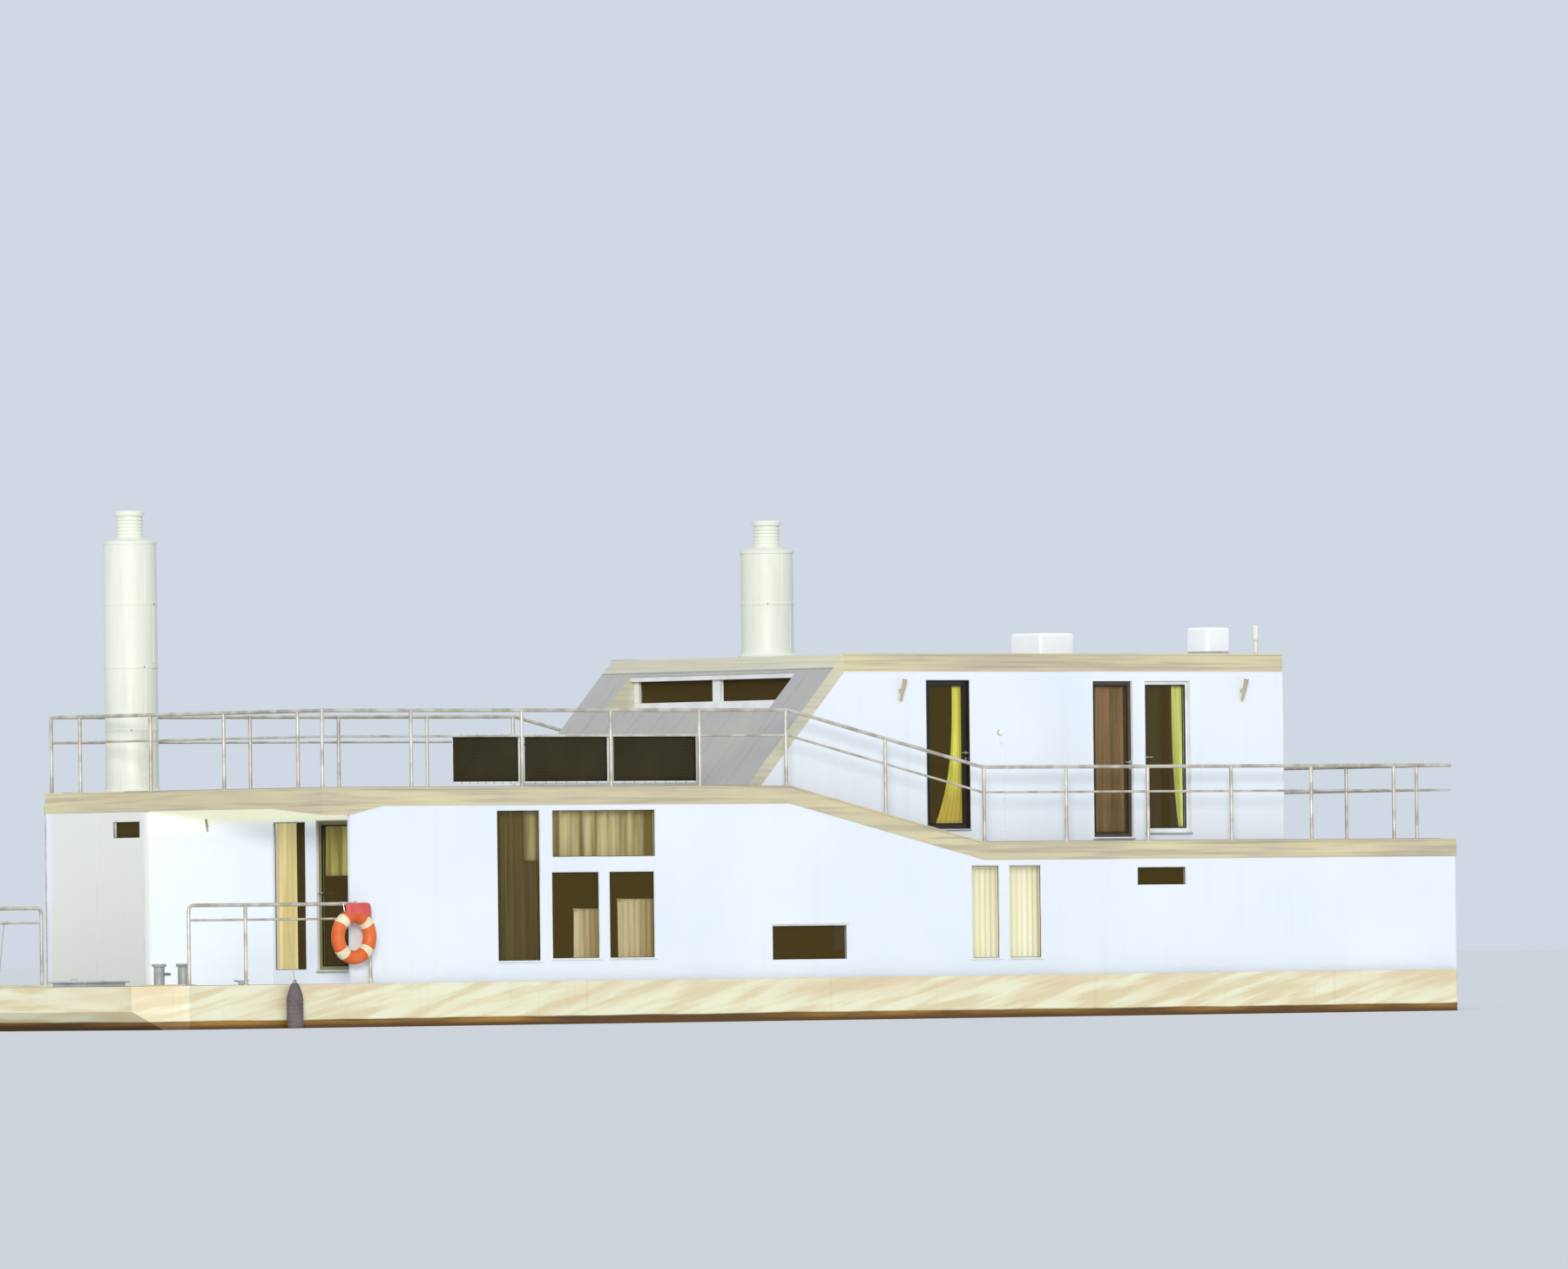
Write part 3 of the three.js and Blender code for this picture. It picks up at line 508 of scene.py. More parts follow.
CORNER_BOW, CORNER_ENTRY = 0.83, -0.79
ANGLED = Vector((ENTRY, CORNER_ENTRY - CORNER_BOW, 0)).normalized()
SLOPE_UP = Vector((BROW - NOSE, 0, UPPER_TOP - FORE_TOP)).normalized()
STRIP_S = 9.76
FACE = {
    "near": Plane(at(0, -HOUSE_Y, 0), (1, 0, 0), (0, -1, 0)),
    "far": Plane(at(0, HOUSE_Y, 0), (1, 0, 0), (0, 1, 0)),
    "bow": Plane(at(0, 0, 0), (0, 1, 0), (-1, 0, 0)),
    "angled": Plane(at(0, CORNER_BOW, 0), ANGLED, (ANGLED.y, -ANGLED.x, 0)),
    "entry": Plane(at(ENTRY, 0, 0), (0, 1, 0), (-1, 0, 0)),
    "stern": Plane(at(STERN_END - 0.03, 0, 0), (0, 1, 0), (1, 0, 0)),
    "upper_near": Plane(at(0, -UPPER_Y, 0), (1, 0, 0), (0, -1, 0)),
    "upper_far": Plane(at(0, UPPER_Y, 0), (1, 0, 0), (0, 1, 0)),
    "upper_stern": Plane(at(UPPER_END, 0, 0), (0, 1, 0), (1, 0, 0)),
    "strip": Plane(at(STRIP_S - REBATE, 0, 0), (0, 1, 0), (-1, 0, 0)),
    "slope": Plane(at(NOSE, 0, FORE_TOP), (0, 1, 0), (-SLOPE_UP.z, 0, SLOPE_UP.x), SLOPE_UP),
}


def rounded(points, radius, steps=5):
    """The same path with its inner corners eased."""
    path = [Vector(points[0])]
    for before, corner, after in zip(points, points[1:], points[2:]):
        before, corner, after = Vector(before), Vector(corner), Vector(after)
        start = corner + (before - corner).normalized() * radius
        end = corner + (after - corner).normalized() * radius
        for k in range(steps + 1):
            t = k / steps
            path.append(start * (1 - t) ** 2 + corner * 2 * t * (1 - t) + end * t ** 2)
    path.append(Vector(points[-1]))
    return path


class Form:
    """A mesh under construction, in metres in the row frame."""

    def __init__(self):
        self.mesh = bmesh.new()

    def rings(self, rings, closed=True, loop=False):
        """Joins successive rings of points, each closed on itself or open, and caps or joins the ends."""
        made = [[self.mesh.verts.new(p) for p in ring] for ring in rings]
        pairs = list(zip(made, made[1:])) + ([(made[-1], made[0])] if loop else [])
        for a, b in pairs:
            count = len(a) if closed else len(a) - 1
            for i in range(count):
                j = (i + 1) % len(a)
                self.mesh.faces.new((a[i], a[j], b[j], b[i]))
        if closed and not loop:
            self.mesh.faces.new(list(reversed(made[0])))
            self.mesh.faces.new(made[-1])

    def block(self, plane, u, v, w):
        """A box on a plane, from low to high along u, v and w."""
        corners = ((u[0], v[0]), (u[1], v[0]), (u[1], v[1]), (u[0], v[1]))
        self.rings([[plane(a, b, c) for a, b in corners] for c in w])

    def box(self, s, y, z):
        self.block(at, s, y, z)

    def prism(self, outline, shift):
        self.rings([[Vector(p) for p in outline], [Vector(p) + Vector(shift) for p in outline]])

    def tube(self, path, radius, sides=14, loop=False):
        path = [Vector(p) for p in path]
        count = len(path)
        rings, side = [], None
        for i, point in enumerate(path):
            before = path[i - 1] if i or loop else point
            after = path[(i + 1) % count] if i + 1 < count or loop else point
            along = (after - before).normalized()
            if side is None:
                side = along.orthogonal().normalized()
            side = (side - along * side.dot(along)).normalized()
            other = along.cross(side)
            turns = full_turn(sides)
            rings.append([point + (side * math.cos(t) + other * math.sin(t)) * radius for t in turns])
        self.rings(rings, loop=loop)

    def turned(self, foot, profile, sides=32, axis=(0, 0, 1)):
        """A turned form about an axis through foot, from a profile of (radius, distance along the axis)."""
        axis = Vector(axis).normalized()
        side = axis.orthogonal().normalized()
        other = axis.cross(side)
        turns = full_turn(sides)
        self.rings([[Vector(foot) + axis * h + (side * math.cos(t) + other * math.sin(t)) * r for t in turns]
                    for r, h in profile])

    def surround(self, plane, u, v, profile):
        """A mitred frame round an opening, from a closed profile of (inset, out)."""
        corners = ((u[0], v[0], 1, 1), (u[1], v[0], -1, 1), (u[1], v[1], -1, -1), (u[0], v[1], 1, -1))
        rings = [[plane(a + i * du, b + i * dv, w) for i, w in profile] for a, b, du, dv in corners]
        self.rings(rings, loop=True)

    def strip(self, plane, path, profile):
        """An edge strip along a path of (u, v), from a closed profile of (up, out)."""
        self.rings([[plane(u, v + up, out) for up, out in profile] for u, v in path])

    def done(self, name, finish, slot, body="boat", replaces=(), bevel=0.0, thick=0.0, sharp=35):
        """Makes the piece and rides it on its body. The slot is not used."""
        bmesh.ops.recalc_face_normals(self.mesh, faces=self.mesh.faces)
        data = bpy.data.meshes.new(name)
        self.mesh.to_mesh(data)
        self.mesh.free()
        data.polygons.foreach_set("use_smooth", [True] * len(data.polygons))
        data.set_sharp_from_angle(angle=math.radians(sharp))
        piece = bpy.data.objects.new(name, data)
        bpy.context.scene.collection.objects.link(piece)
        data.materials.append(FINISH[finish])
        if bevel:
            ease = piece.modifiers.new("ease", "BEVEL")
            ease.width, ease.segments, ease.limit_method = bevel, 2, "ANGLE"
        if thick:
            shell = piece.modifiers.new("shell", "SOLIDIFY")
            shell.thickness, shell.offset = thick, 0
        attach(piece, body)
        if replaces:
            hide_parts(*replaces)
        return piece


# Windows. Each row: face, u from, u to, v from, v to, edge below or above
WINDOWS = [
    ("near", 3.09, 3.88, 0.86, 2.93, "sill"), ("near", 4.08, 5.965, 2.27, 2.93, ""),
    ("near", 4.065, 4.94, 0.885, 2.085, "sill"), ("near", 5.10, 5.94, 0.885, 2.085, "sill"),
    ("near", 8.055, 9.45, 0.83, 1.32, "cap"), ("near", 11.75, 12.285, 0.82, 2.125, "sill"),
    ("near", 12.45, 13.07, 0.82, 2.125, "sill"), ("near", 14.865, 15.805, 1.815, 2.085, ""),
    ("far", 5.60, 6.62, 0.90, 2.08, "sill"), ("far", 6.74, 7.76, 0.90, 2.08, "sill"),
    ("far", 14.35, 15.30, 0.95, 1.95, "sill"), ("far", 15.42, 16.40, 0.95, 1.95, "sill"),
    ("bow", 0.925, 1.53, 2.60, 2.845, ""), ("entry", -1.51, -0.825, 0.775, 2.80, ""),
    ("upper_far", 13.10, 14.10, 3.20, 4.64, "sill"), ("upper_far", 14.22, 15.20, 3.20, 4.64, "sill"),
    ("upper_stern", -1.25, -0.07, 2.56, 4.69, "sill"), ("upper_stern", 0.07, 1.25, 2.56, 4.69, "sill"),
    ("strip", -1.71, -0.04, 4.32, 4.815, ""), ("strip", 0.11, 1.80, 4.32, 4.815, ""),
]
FRAME_PROFILE = [
    (0.0, -0.0297), (0.0, -0.005), (0.002, -0.003), (0.012, -0.003), (0.014, -0.006), (0.014, -0.0297),
]
SEAL_PROFILE = [(0.0135, -0.0295), (0.0135, -0.022), (0.020, -0.026), (0.020, -0.0295)]
NOSE_PROFILE = [
    (0.003, 0.001), (-0.002, 0.018), (-0.012, 0.018), (-0.012, 0.015), (-0.006, 0.014), (-0.006, 0.001),
]


def make_windows():
    frames, seals, sills = Form(), Form(), Form()
    for face, u0, u1, v0, v1, edge in WINDOWS:
        plane = FACE[face]
        frames.surround(plane, (u0, u1), (v0, v1), FRAME_PROFILE)
        seals.surround(plane, (u0, u1), (v0, v1), SEAL_PROFILE)
        if edge:
            v = v0 if edge == "sill" else v1 + 0.02
            sills.strip(plane, [(u0 - 0.02, v), (u1 + 0.02, v)], NOSE_PROFILE)
    frames.done("window_frames", "white", "wall_paint")
    seals.done("window_seals", "black", "door_frame")
    sills.done("window_sills", "white", "wall_paint")


make_windows()

# Doors. Each row: name, face, opening u from, u to, v from, v to, hinge side, casing
DOORS = [
    ("door_mid", "upper_near", 11.405, 12.18, 2.64, 4.69, "low", "dark"),
    ("door_aft_left", "upper_near", 14.51, 15.26, 2.50, 4.69, "low", "white"),
    ("door_aft_right", "upper_near", 15.49, 16.35, 2.57, 4.69, "high", "white"),
    ("door_entry", "entry", -2.60, -1.755, 0.775, 2.80, "low", "white"),
]
LEAF_OUTER, LEAF_INNER = -0.035, -0.080
LEAF_SIDES = ((LEAF_OUTER, 1), (LEAF_INNER, -1))
LEAF_LAP = 0.017
STILE = 0.075
HANDLE_UP = 1.05
ROSE = [(0.024, 0), (0.024, 0.006), (0.021, 0.008), (0.011, 0.008), (0.011, 0.04)]
KEYHOLE = [(0.02, 0), (0.02, 0.005), (0.008, 0.007)]
HINGE_IN, PIN_HALF = 0.2, 0.045
PIN = [(0.004, -0.004), (0.006, 0), (0.006, 0.09), (0.004, 0.094)]
CASING_PROFILE = [(-0.012, 0.0012), (-0.012, 0.008), (-0.008, 0.010), (0.003, 0.010), (0.003, -0.028),
                  (0.0006, -0.028), (0.0006, 0.0012)]


def make_door(name, face, u0, u1, v0, v1, hinge, casing):
    """The casing and step of a doorway, and the beads, handles and hinge pins that turn with its leaf."""
    plane = FACE[face]
    trim = Form()
    trim.surround(plane, (u0, u1), (v0, v1), CASING_PROFILE)
    trim.done(name + "_casing", casing, "door_frame" if casing == "dark" else "wall_paint")
    step = Form()
    step.block(plane, (u0 - 0.01, u1 + 0.01), (v0 - 0.03, v0 - 0.008), (0.001, 0.035))
    step.done(name + "_step", "sill", "wall_paint", bevel=0.004)
    leaf_u, leaf_v = (u0 - LEAF_LAP, u1 + LEAF_LAP), (v0 - LEAF_LAP, v1 + LEAF_LAP)
    light_u, light_v = (leaf_u[0] + STILE, leaf_u[1] - STILE), (leaf_v[0] + STILE, leaf_v[1] - STILE)
    bead, handle, pins = Form(), Form(), Form()
    for side, out in LEAF_SIDES:
        near, deep = side + out * 0.004, side - out * 0.0095
        bead.surround(plane, light_u, light_v, [(-0.006, near), (0.012, near), (0.014, deep), (-0.006, deep)])
    bead.done(name + "_beads", "black", "door_frame", body=name)
    grip = leaf_u[1] - 0.042 if hinge == "low" else leaf_u[0] + 0.042
    inwards = -1 if hinge == "low" else 1
    level = v0 + HANDLE_UP
    for start, out in LEAF_SIDES:
        handle.turned(plane(grip, level, start), ROSE, 20, plane.out * out)
        lever = [(grip, 0.012), (grip, 0.044), (grip + inwards * 0.115, 0.044)]
        neck = [plane(u, level, start + out * w) for u, w in lever]
        handle.tube(rounded(neck, 0.014), 0.009, 12)
        handle.turned(plane(grip, level - 0.085, start), KEYHOLE, 20, plane.out * out)
    handle.done(name + "_handle", "steel", "door_frame", body=name)
    axis = leaf_u[0] if hinge == "low" else leaf_u[1]
    for height in (v0 + HINGE_IN, (v0 + v1) / 2, v1 - HINGE_IN):
        pins.turned(plane(axis, height - PIN_HALF, LEAF_INNER), PIN, 14)
    pins.done(name + "_hinges", "steel", "door_frame", body=name)


for row in DOORS:
    make_door(*row)

# Curtains. Each row: name, face, u from, u to, v from, v to, half fold, pleats, cloth, replaced solid
CURTAINS = [
    ("curtain_mid", "upper_near", 11.97, 12.165, 2.69, 4.65, 0.016, 6, "green", "curtain_door_mid"),
    ("curtain_aft_left", "upper_near", 14.59, 15.18, 2.55, 4.65, 0.018, 7, "brown", "curtain_door_aft_left"),
    ("curtain_aft_right", "upper_near", 16.11, 16.30, 2.62, 4.65, 0.016, 5, "lime", "curtain_door_aft_right"),
    ("curtain_door", "entry", -2.53, -1.82, 2.055, 2.765, 0.018, 8, "moss", "curtain_door_entry"),
    ("curtain_band", "near", 3.73, 6.13, 2.235, 2.975, 0.026, 11, "olive", "curtain_group"),
    ("curtain_drop", "near", 3.31, 3.72, 0.765, 2.975, 0.024, 4, "shade", "curtain_group"),
    ("curtain_drop_low", "near", 3.73, 4.05, 0.765, 2.222, 0.024, 3, "shade", "curtain_group"),
    ("curtain_half_fore", "near", 4.62, 5.10, 0.765, 1.56, 0.020, 5, "tan", "curtain_group"),
    ("curtain_half_aft", "near", 5.41, 6.13, 0.765, 1.69, 0.020, 7, "tan", "curtain_group"),
    ("curtain_pair", "near", 11.88, 13.25, 0.73, 2.165, 0.018, 14, "cream", "curtain_tall_pair"),
    ("curtain_pane", "entry", -1.095, -0.605, 0.71, 2.975, 0.026, 5, "porch", "curtain_entry"),
]
DOOR_CURTAIN_DEEP, WALL_CURTAIN_DEEP = 0.106, 0.190
# How much further forward the fore edge hangs at the hem, or further aft where it is below zero
FLARE = {"curtain_mid": 0.34, "curtain_aft_right": -0.12}
PLEAT_STEPS = 10
CURTAIN_SLOT = {"brown": "curtain_brown", "cream": "curtain_cream", "tan": "curtain_cream"}


def make_curtain(name, face, u0, u1, v0, v1, fold, pleats, colour, solid):
    """Gathered cloth: tight pleats under the rod that open and wander towards a heavier hem."""
    plane = FACE[face]
    on_door = solid.startswith("curtain_door_")
    body = solid.removeprefix("curtain_") if on_door else "boat"
    depth = DOOR_CURTAIN_DEEP if on_door else WALL_CURTAIN_DEEP
    columns = pleats * PLEAT_STEPS
    rows = max(10, int((v1 - v0) / 0.07))
    flare = FLARE.get(name, 0.0)
    lean = [random.uniform(-0.35, 0.35) for _ in range(pleats + 1)]
    size = [random.uniform(0.72, 1.0) for _ in range(pleats + 1)]
    grid = []
    for r in range(rows + 1):
        fall = r / rows
        line = []
        for c in range(columns + 1):
            t = c / columns
            k = min(pleats - 1, int(t * pleats))
            part = t * pleats - k
            ease = part * part * (3 - 2 * part)
            wander = (lean[k] * (1 - ease) + lean[k + 1] * ease) * fall
            swell = size[k] * (1 - ease) + size[k + 1] * ease
            wave = math.sin(2 * math.pi * (t * pleats) + wander * 2)
            sharpened = wave * (1.15 - 0.15 * wave * wave)
            depth_here = fold * swell * (0.75 + 0.25 * fall) * sharpened
            sway = 0.25 * (u1 - u0) / pleats * wander * math.sin(math.pi * t)
            spread = -flare * (1 - t) * fall ** 3
            line.append(plane(u0 + (u1 - u0) * t + sway + spread, v1 + (v0 - v1) * fall, -depth - depth_here))
        grid.append(line)
    form = Form()
    form.rings(grid, closed=False)
    slot = CURTAIN_SLOT.get(colour, "curtain_green")
    piece = form.done(name, colour, slot, body=body, replaces=[solid], thick=0.0016)
    rod = Form()
    rod.tube([plane(u0 - 0.01, v1 + 0.006, -depth), plane(u1 + 0.01, v1 + 0.006, -depth)], 0.005, 10)
    back = (LEAF_INNER if on_door else -WALL) - 0.001
    for u in (u0 - 0.006, u1 + 0.006):
        rod.block(plane, (u - 0.006, u + 0.006), (v1 - 0.004, v1 + 0.016), (-depth, back))
    rod.done(name + "_rod", colour, "door_frame", body=body)


for row in CURTAINS:
    make_curtain(*row)

# Edges of the roofs
SIDE_EDGE = [(0.0, FORE_TOP), (KINK, FORE_TOP), (RAMP_FOOT, AFT_TOP), (STERN_END, AFT_TOP)]
EDGE_DEEP = 0.23
COPING = [(0.0008, -0.05), (0.012, -0.05), (0.014, 0.008), (-0.010, 0.008), (-0.010, 0.005), (0.0008, 0.005)]
DRIP = [(0.005, 0.0006), (0.005, 0.004), (-0.006, 0.006), (-0.006, 0.0006)]
LIP_NEAR, LIP_FAR = 0.127, 0.030
LIP_THICK = 0.008
LIP_LEVEL, LIP_END, LIP_ACROSS = 0.48, 1.05, 1.1
AFT_EDGE = Plane(at(STERN_END, 0, 0), (0, 1, 0), (1, 0, 0))
UPPER_EDGE = [(BROW, UPPER_TOP), (UPPER_END, UPPER_TOP)]
# Each row: plane, path of the top edge
EDGES = [
    (FACE["near"], SIDE_EDGE), (FACE["far"], SIDE_EDGE), (FACE["upper_near"], UPPER_EDGE),
    (FACE["upper_far"], UPPER_EDGE), (FACE["bow"], [(-HOUSE_Y, FORE_TOP), (HOUSE_Y, FORE_TOP)]),
    (FACE["upper_stern"], [(-UPPER_Y, UPPER_TOP), (UPPER_Y, UPPER_TOP)]),
    (AFT_EDGE, [(-HOUSE_Y, AFT_TOP), (HOUSE_Y, AFT_TOP)]),
]


def make_edges():
    """A coping along each top edge, and a drip under the edge sheet of the long sides."""
    coping, drip = Form(), Form()
    for plane, path in EDGES:
        profile = [(up, min(out, -0.0002)) for up, out in COPING] if plane is AFT_EDGE else COPING
        coping.strip(plane, path, profile)
        if path is SIDE_EDGE:
            drip.strip(plane, [(u, v - EDGE_DEEP) for u, v in path], DRIP)
    coping.done("roof_coping", "fascia", "fascia")
    drip.done("roof_drip", "fascia", "fascia")


def make_bow_lip():
    """The deeper edge board round the bow end: deepest at the near corner, tapering along the sides. The deep
    near corner is partly painted shadow, a board where the overhang's shadow falls on the wall.
    """
    lip = Form()
    foot, high = FORE_TOP - EDGE_DEEP, FORE_TOP - 0.012
    near, far = -HOUSE_Y - LIP_THICK, HOUSE_Y + LIP_THICK
    bow = [(near, foot - LIP_NEAR), (near + LIP_ACROSS, foot - LIP_FAR), (far, foot - LIP_FAR), (far, high),
           (near, high)]
    boards = [(FACE["bow"], bow)]
    for face, deep in (("near", LIP_NEAR), ("far", LIP_FAR)):
        under = [(0.0, foot - deep), (LIP_LEVEL, foot - deep), (LIP_END, foot - 0.007)]
        boards.append((FACE[face], under + [(LIP_END, high), (0.0, high)]))
    for plane, outline in boards:
        lip.rings([[plane(u, v, w) for u, v in outline] for w in (0.0006, LIP_THICK)])
    lip.done("bow_edge_board", "fascia", "fascia")


make_edges()
make_bow_lip()

# Upper cabin's sloping front: faint standing seams, a foot flashing and the white bars of its strip window
STRIP_Y, STRIP_Z = (-1.71, 1.80), (4.32, 4.815)
STRIP_MULLION = (-0.046, 0.116)
STRIP_SILL_BAR, STRIP_HEAD_BAR = (4.322, 4.450), (4.750, 4.813)
STRIP_BACK = STRIP_S - 0.0008
STRIP_FRONT, STRIP_HEAD_FRONT, STRIP_MULLION_FRONT = 9.705, 9.634, 9.694
STRIP_JAMB = 0.09
SEAM_PITCH = 0.49


def slope_v(z):
    return (z - FORE_TOP) / SLOPE_UP.z


def make_slope():
    seams, edging, bars = Form(), Form(), Form()
    plane = FACE["slope"]
    rib = [(-0.005, 0.0006), (-0.004, 0.009), (0.004, 0.009), (0.005, 0.0006)]
    count = int(2 * UPPER_Y / SEAM_PITCH)
    gap = (slope_v(STRIP_Z[0]) - 0.02, slope_v(STRIP_Z[1]) + 0.02)
    top = slope_v(UPPER_TOP - BROW_BAND) - 0.01
    for k in range(1, count):
        y = -UPPER_Y + 2 * UPPER_Y * k / count
        inside = STRIP_Y[0] - 0.05 < y < STRIP_Y[1] + 0.05
        spans = [(0.12, gap[0]), (gap[1], top)] if inside else [(0.12, top)]
        for v0, v1 in spans:
            seams.rings([[plane(y + du, v, w) for du, w in rib] for v in (v0, v1)])
    seams.done("slope_seams", "seam", "zinc")
    edging.block(plane, (-UPPER_Y, UPPER_Y), (0.0, 0.10), (0.0006, 0.006))
    edging.block(plane, (-UPPER_Y, UPPER_Y), (top, top + 0.02), (0.0006, 0.008))
    edging.done("slope_edging", "seam", "zinc", bevel=0.002)
    low, high = STRIP_Y[0] + 0.002, STRIP_Y[1] - 0.002
    bars.box((STRIP_HEAD_FRONT, STRIP_BACK), (low, high), STRIP_HEAD_BAR)
    for y0, y1 in ((low, STRIP_MULLION[0] - 0.0005), (STRIP_MULLION[1] + 0.0005, high)):
        bars.box((STRIP_FRONT, STRIP_BACK), (y0, y1), STRIP_SILL_BAR)
    under = STRIP_HEAD_BAR[0] - 0.0005
    bars.box((STRIP_FRONT, STRIP_BACK), (high - STRIP_JAMB, high), (STRIP_SILL_BAR[1] + 0.0005, under))
    bars.box((STRIP_MULLION_FRONT, STRIP_BACK), STRIP_MULLION, (STRIP_SILL_BAR[0], under))
    bars.done("strip_window_bars", "white", "wall_paint", bevel=0.003)


make_slope()

# Terrace boards over the felt, notched round the fore flue. Each row: s from, s to, y from, y to, height
FLUE_S, FLUE_Y, FLUE_CLEAR = 0.80, 2.05, 0.45
DECKS = [
    (0.16, 7.98, -2.78, 2.78, FORE_TOP),
    (18.18, 20.86, -2.78, 2.78, AFT_TOP),
    (12.08, 18.18, -2.80, -2.49, AFT_TOP),
    (12.08, 18.18, 2.49, 2.80, AFT_TOP),
]
BOARD_HIGH = 0.022
BOARD_GAP, BUTT_GAP = 0.006, 0.004
# Where the even and the odd boards of a long run butt, as shares of its length
BUTTS = ((0.52,), (0.37, 0.71))
CLEAT_START, CLEAT_PITCH, CLEATS = 8.56, 0.245, 14
CLEAT_LONG, CLEAT_HIGH = 0.05, 0.018
CLEAT_IN, CLEAT_OUT = 2.50, 2.80


def make_terraces():
    boards = Form()
    for s0, s1, y0, y1, top in DECKS:
        count = max(1, int((y1 - y0) / BOARD_PITCH))
        pitch = (y1 - y0) / count
        for k in range(count):
            low, high = y0 + k * pitch, y0 + (k + 1) * pitch - BOARD_GAP
            meets = top == FORE_TOP and abs((low + high) / 2 - FLUE_Y) < FLUE_CLEAR + pitch / 2
            start = FLUE_S + FLUE_CLEAR if meets else s0
            butts = BUTTS[k % 2] if s1 - start > 4 else ()
            cuts = [start] + [start + (s1 - start) * share for share in butts] + [s1]
            for a, b in zip(cuts, cuts[1:]):
                boards.box((a, b - BUTT_GAP), (low, high), (top + 0.0006, top + BOARD_HIGH))
    boards.done("terrace_boards", "boards", "fascia", bevel=0.003)
    cleats = Form()
    fall = (FORE_TOP - AFT_TOP) / (RAMP_FOOT - KINK)
    for side in (-1, 1):
        y = sorted((side * CLEAT_IN, side * CLEAT_OUT))
        for k in range(CLEATS):
            s = CLEAT_START + CLEAT_PITCH * k
            top = FORE_TOP - fall * (s - KINK)
            ends = ((s, top), (s + CLEAT_LONG, top - fall * CLEAT_LONG))
            outline = [(a, z + 0.0006) for a, z in ends] + [(a, z + CLEAT_HIGH) for a, z in reversed(ends)]
            cleats.prism([at(a, y[0], z) for a, z in outline], (0, y[1] - y[0], 0))
    cleats.done("ramp_cleats", "boards", "fascia")


make_terraces()

# Rails. Posts of round tube on bolted feet, one bent top rail and a thinner middle rail
RAIL_Y = 2.89
RAIL_R, RAIL_THIN = 0.025, 0.016
RAIL_TOP, RAIL_MIDDLE = 1.055, 0.705
FORE_POSTS = [0.06, 1.635, 3.61, 5.21, 6.82, 8.40]
RAMP_POST = 10.23
AFT_POSTS = [12.06, 13.60, 15.14, 16.725, 18.26, 19.85]
FORE_CORNER, AFT_CORNER = 0.06, 20.94
BOW_POSTS = [-2.378, -0.812, 0.750, 2.268]
STERN_POSTS = [-2.20, -0.735, 0.735, 2.20]
RAIL_TUBES = ((RAIL_TOP, RAIL_R, 16), (RAIL_MIDDLE, RAIL_THIN, 12))
RAIL_END = [(0.012, 0), (0.026, 0.012), (0.029, 0.027), (0.026, 0.042), (0.012, 0.054)]


def roof_top(s):
    if s <= KINK:
        return FORE_TOP
    return max(AFT_TOP, FORE_TOP - (FORE_TOP - AFT_TOP) * (s - KINK) / (RAMP_FOOT - KINK))


def post(form, s, y, base, top):
    """One post with its square foot, four bolt heads and a welded collar."""
    form.tube([at(s, y, base + 0.001), at(s, y, top)], RAIL_R, 14)
    half = 0.055
    form.box((s - half, s + half), (y - half, y + half), (base + 0.0008, base + 0.009))
    form.turned(at(s, y, base + 0.008), [(0.034, 0), (0.028, 0.014), (0.026, 0.022)], 18)
    for a in (-0.038, 0.038):
        for b in (-0.038, 0.038):
            form.turned(at(s + a, y + b, base + 0.009), [(0.009, 0), (0.009, 0.006), (0.006, 0.008)], 6)


def make_side_rail(side):
    y = side * RAIL_Y
    rail = Form()
    posts = FORE_POSTS + AFT_POSTS
    for s in posts:
        post(rail, s, y, roof_top(s), roof_top(s) + RAIL_TOP)
    slant = roof_top(RAMP_POST)
    rail.tube([at(RAMP_POST, y, slant), at(RAMP_POST, y, slant + RAIL_TOP - 0.005)], RAIL_R, 14)
    rail.turned(at(RAMP_POST, y, slant - 0.012), [(0.05, 0), (0.05, 0.02), (0.026, 0.035)], 18)
    for height, radius, sides in RAIL_TUBES:
        fore, aft = FORE_TOP + height, AFT_TOP + height
        line = [at(FORE_CORNER, y, fore), at(FORE_POSTS[-1] + 0.03, y, fore),
                at(AFT_POSTS[0] - 0.03, y, aft), at(AFT_CORNER, y, aft)]
        rail.tube(rounded(line, 0.06), radius, sides)
    label = "near" if side < 0 else "far"
    rail.done(f"rail_{label}", "tube", "rail_tube",
              replaces=[f"rail_{label}_{part}" for part in ("fore", "ramp", "aft")])


def make_cross_rail(name, s, base, posts):
    rail = Form()
    for y in posts:
        post(rail, s, y, base, base + RAIL_TOP)
    for height, radius, sides in RAIL_TUBES:
        rail.tube([at(s, -RAIL_Y, base + height), at(s, RAIL_Y, base + height)], radius, sides)
    for y in (-RAIL_Y, RAIL_Y):
        rail.turned(at(s, y, base + RAIL_TOP - 0.027), RAIL_END, 16)
    rail.done(name, "tube", "rail_tube", replaces=[name])


DECK_RAILS = [("near", -1, [-2.41, -1.42, 0.77]), ("far", 1, [-2.41, -1.42, -0.06])]
DECK_RAIL_Y, DECK_RAIL_TOP, DECK_RAIL_MIDDLE = 3.005, 1.08, 0.88


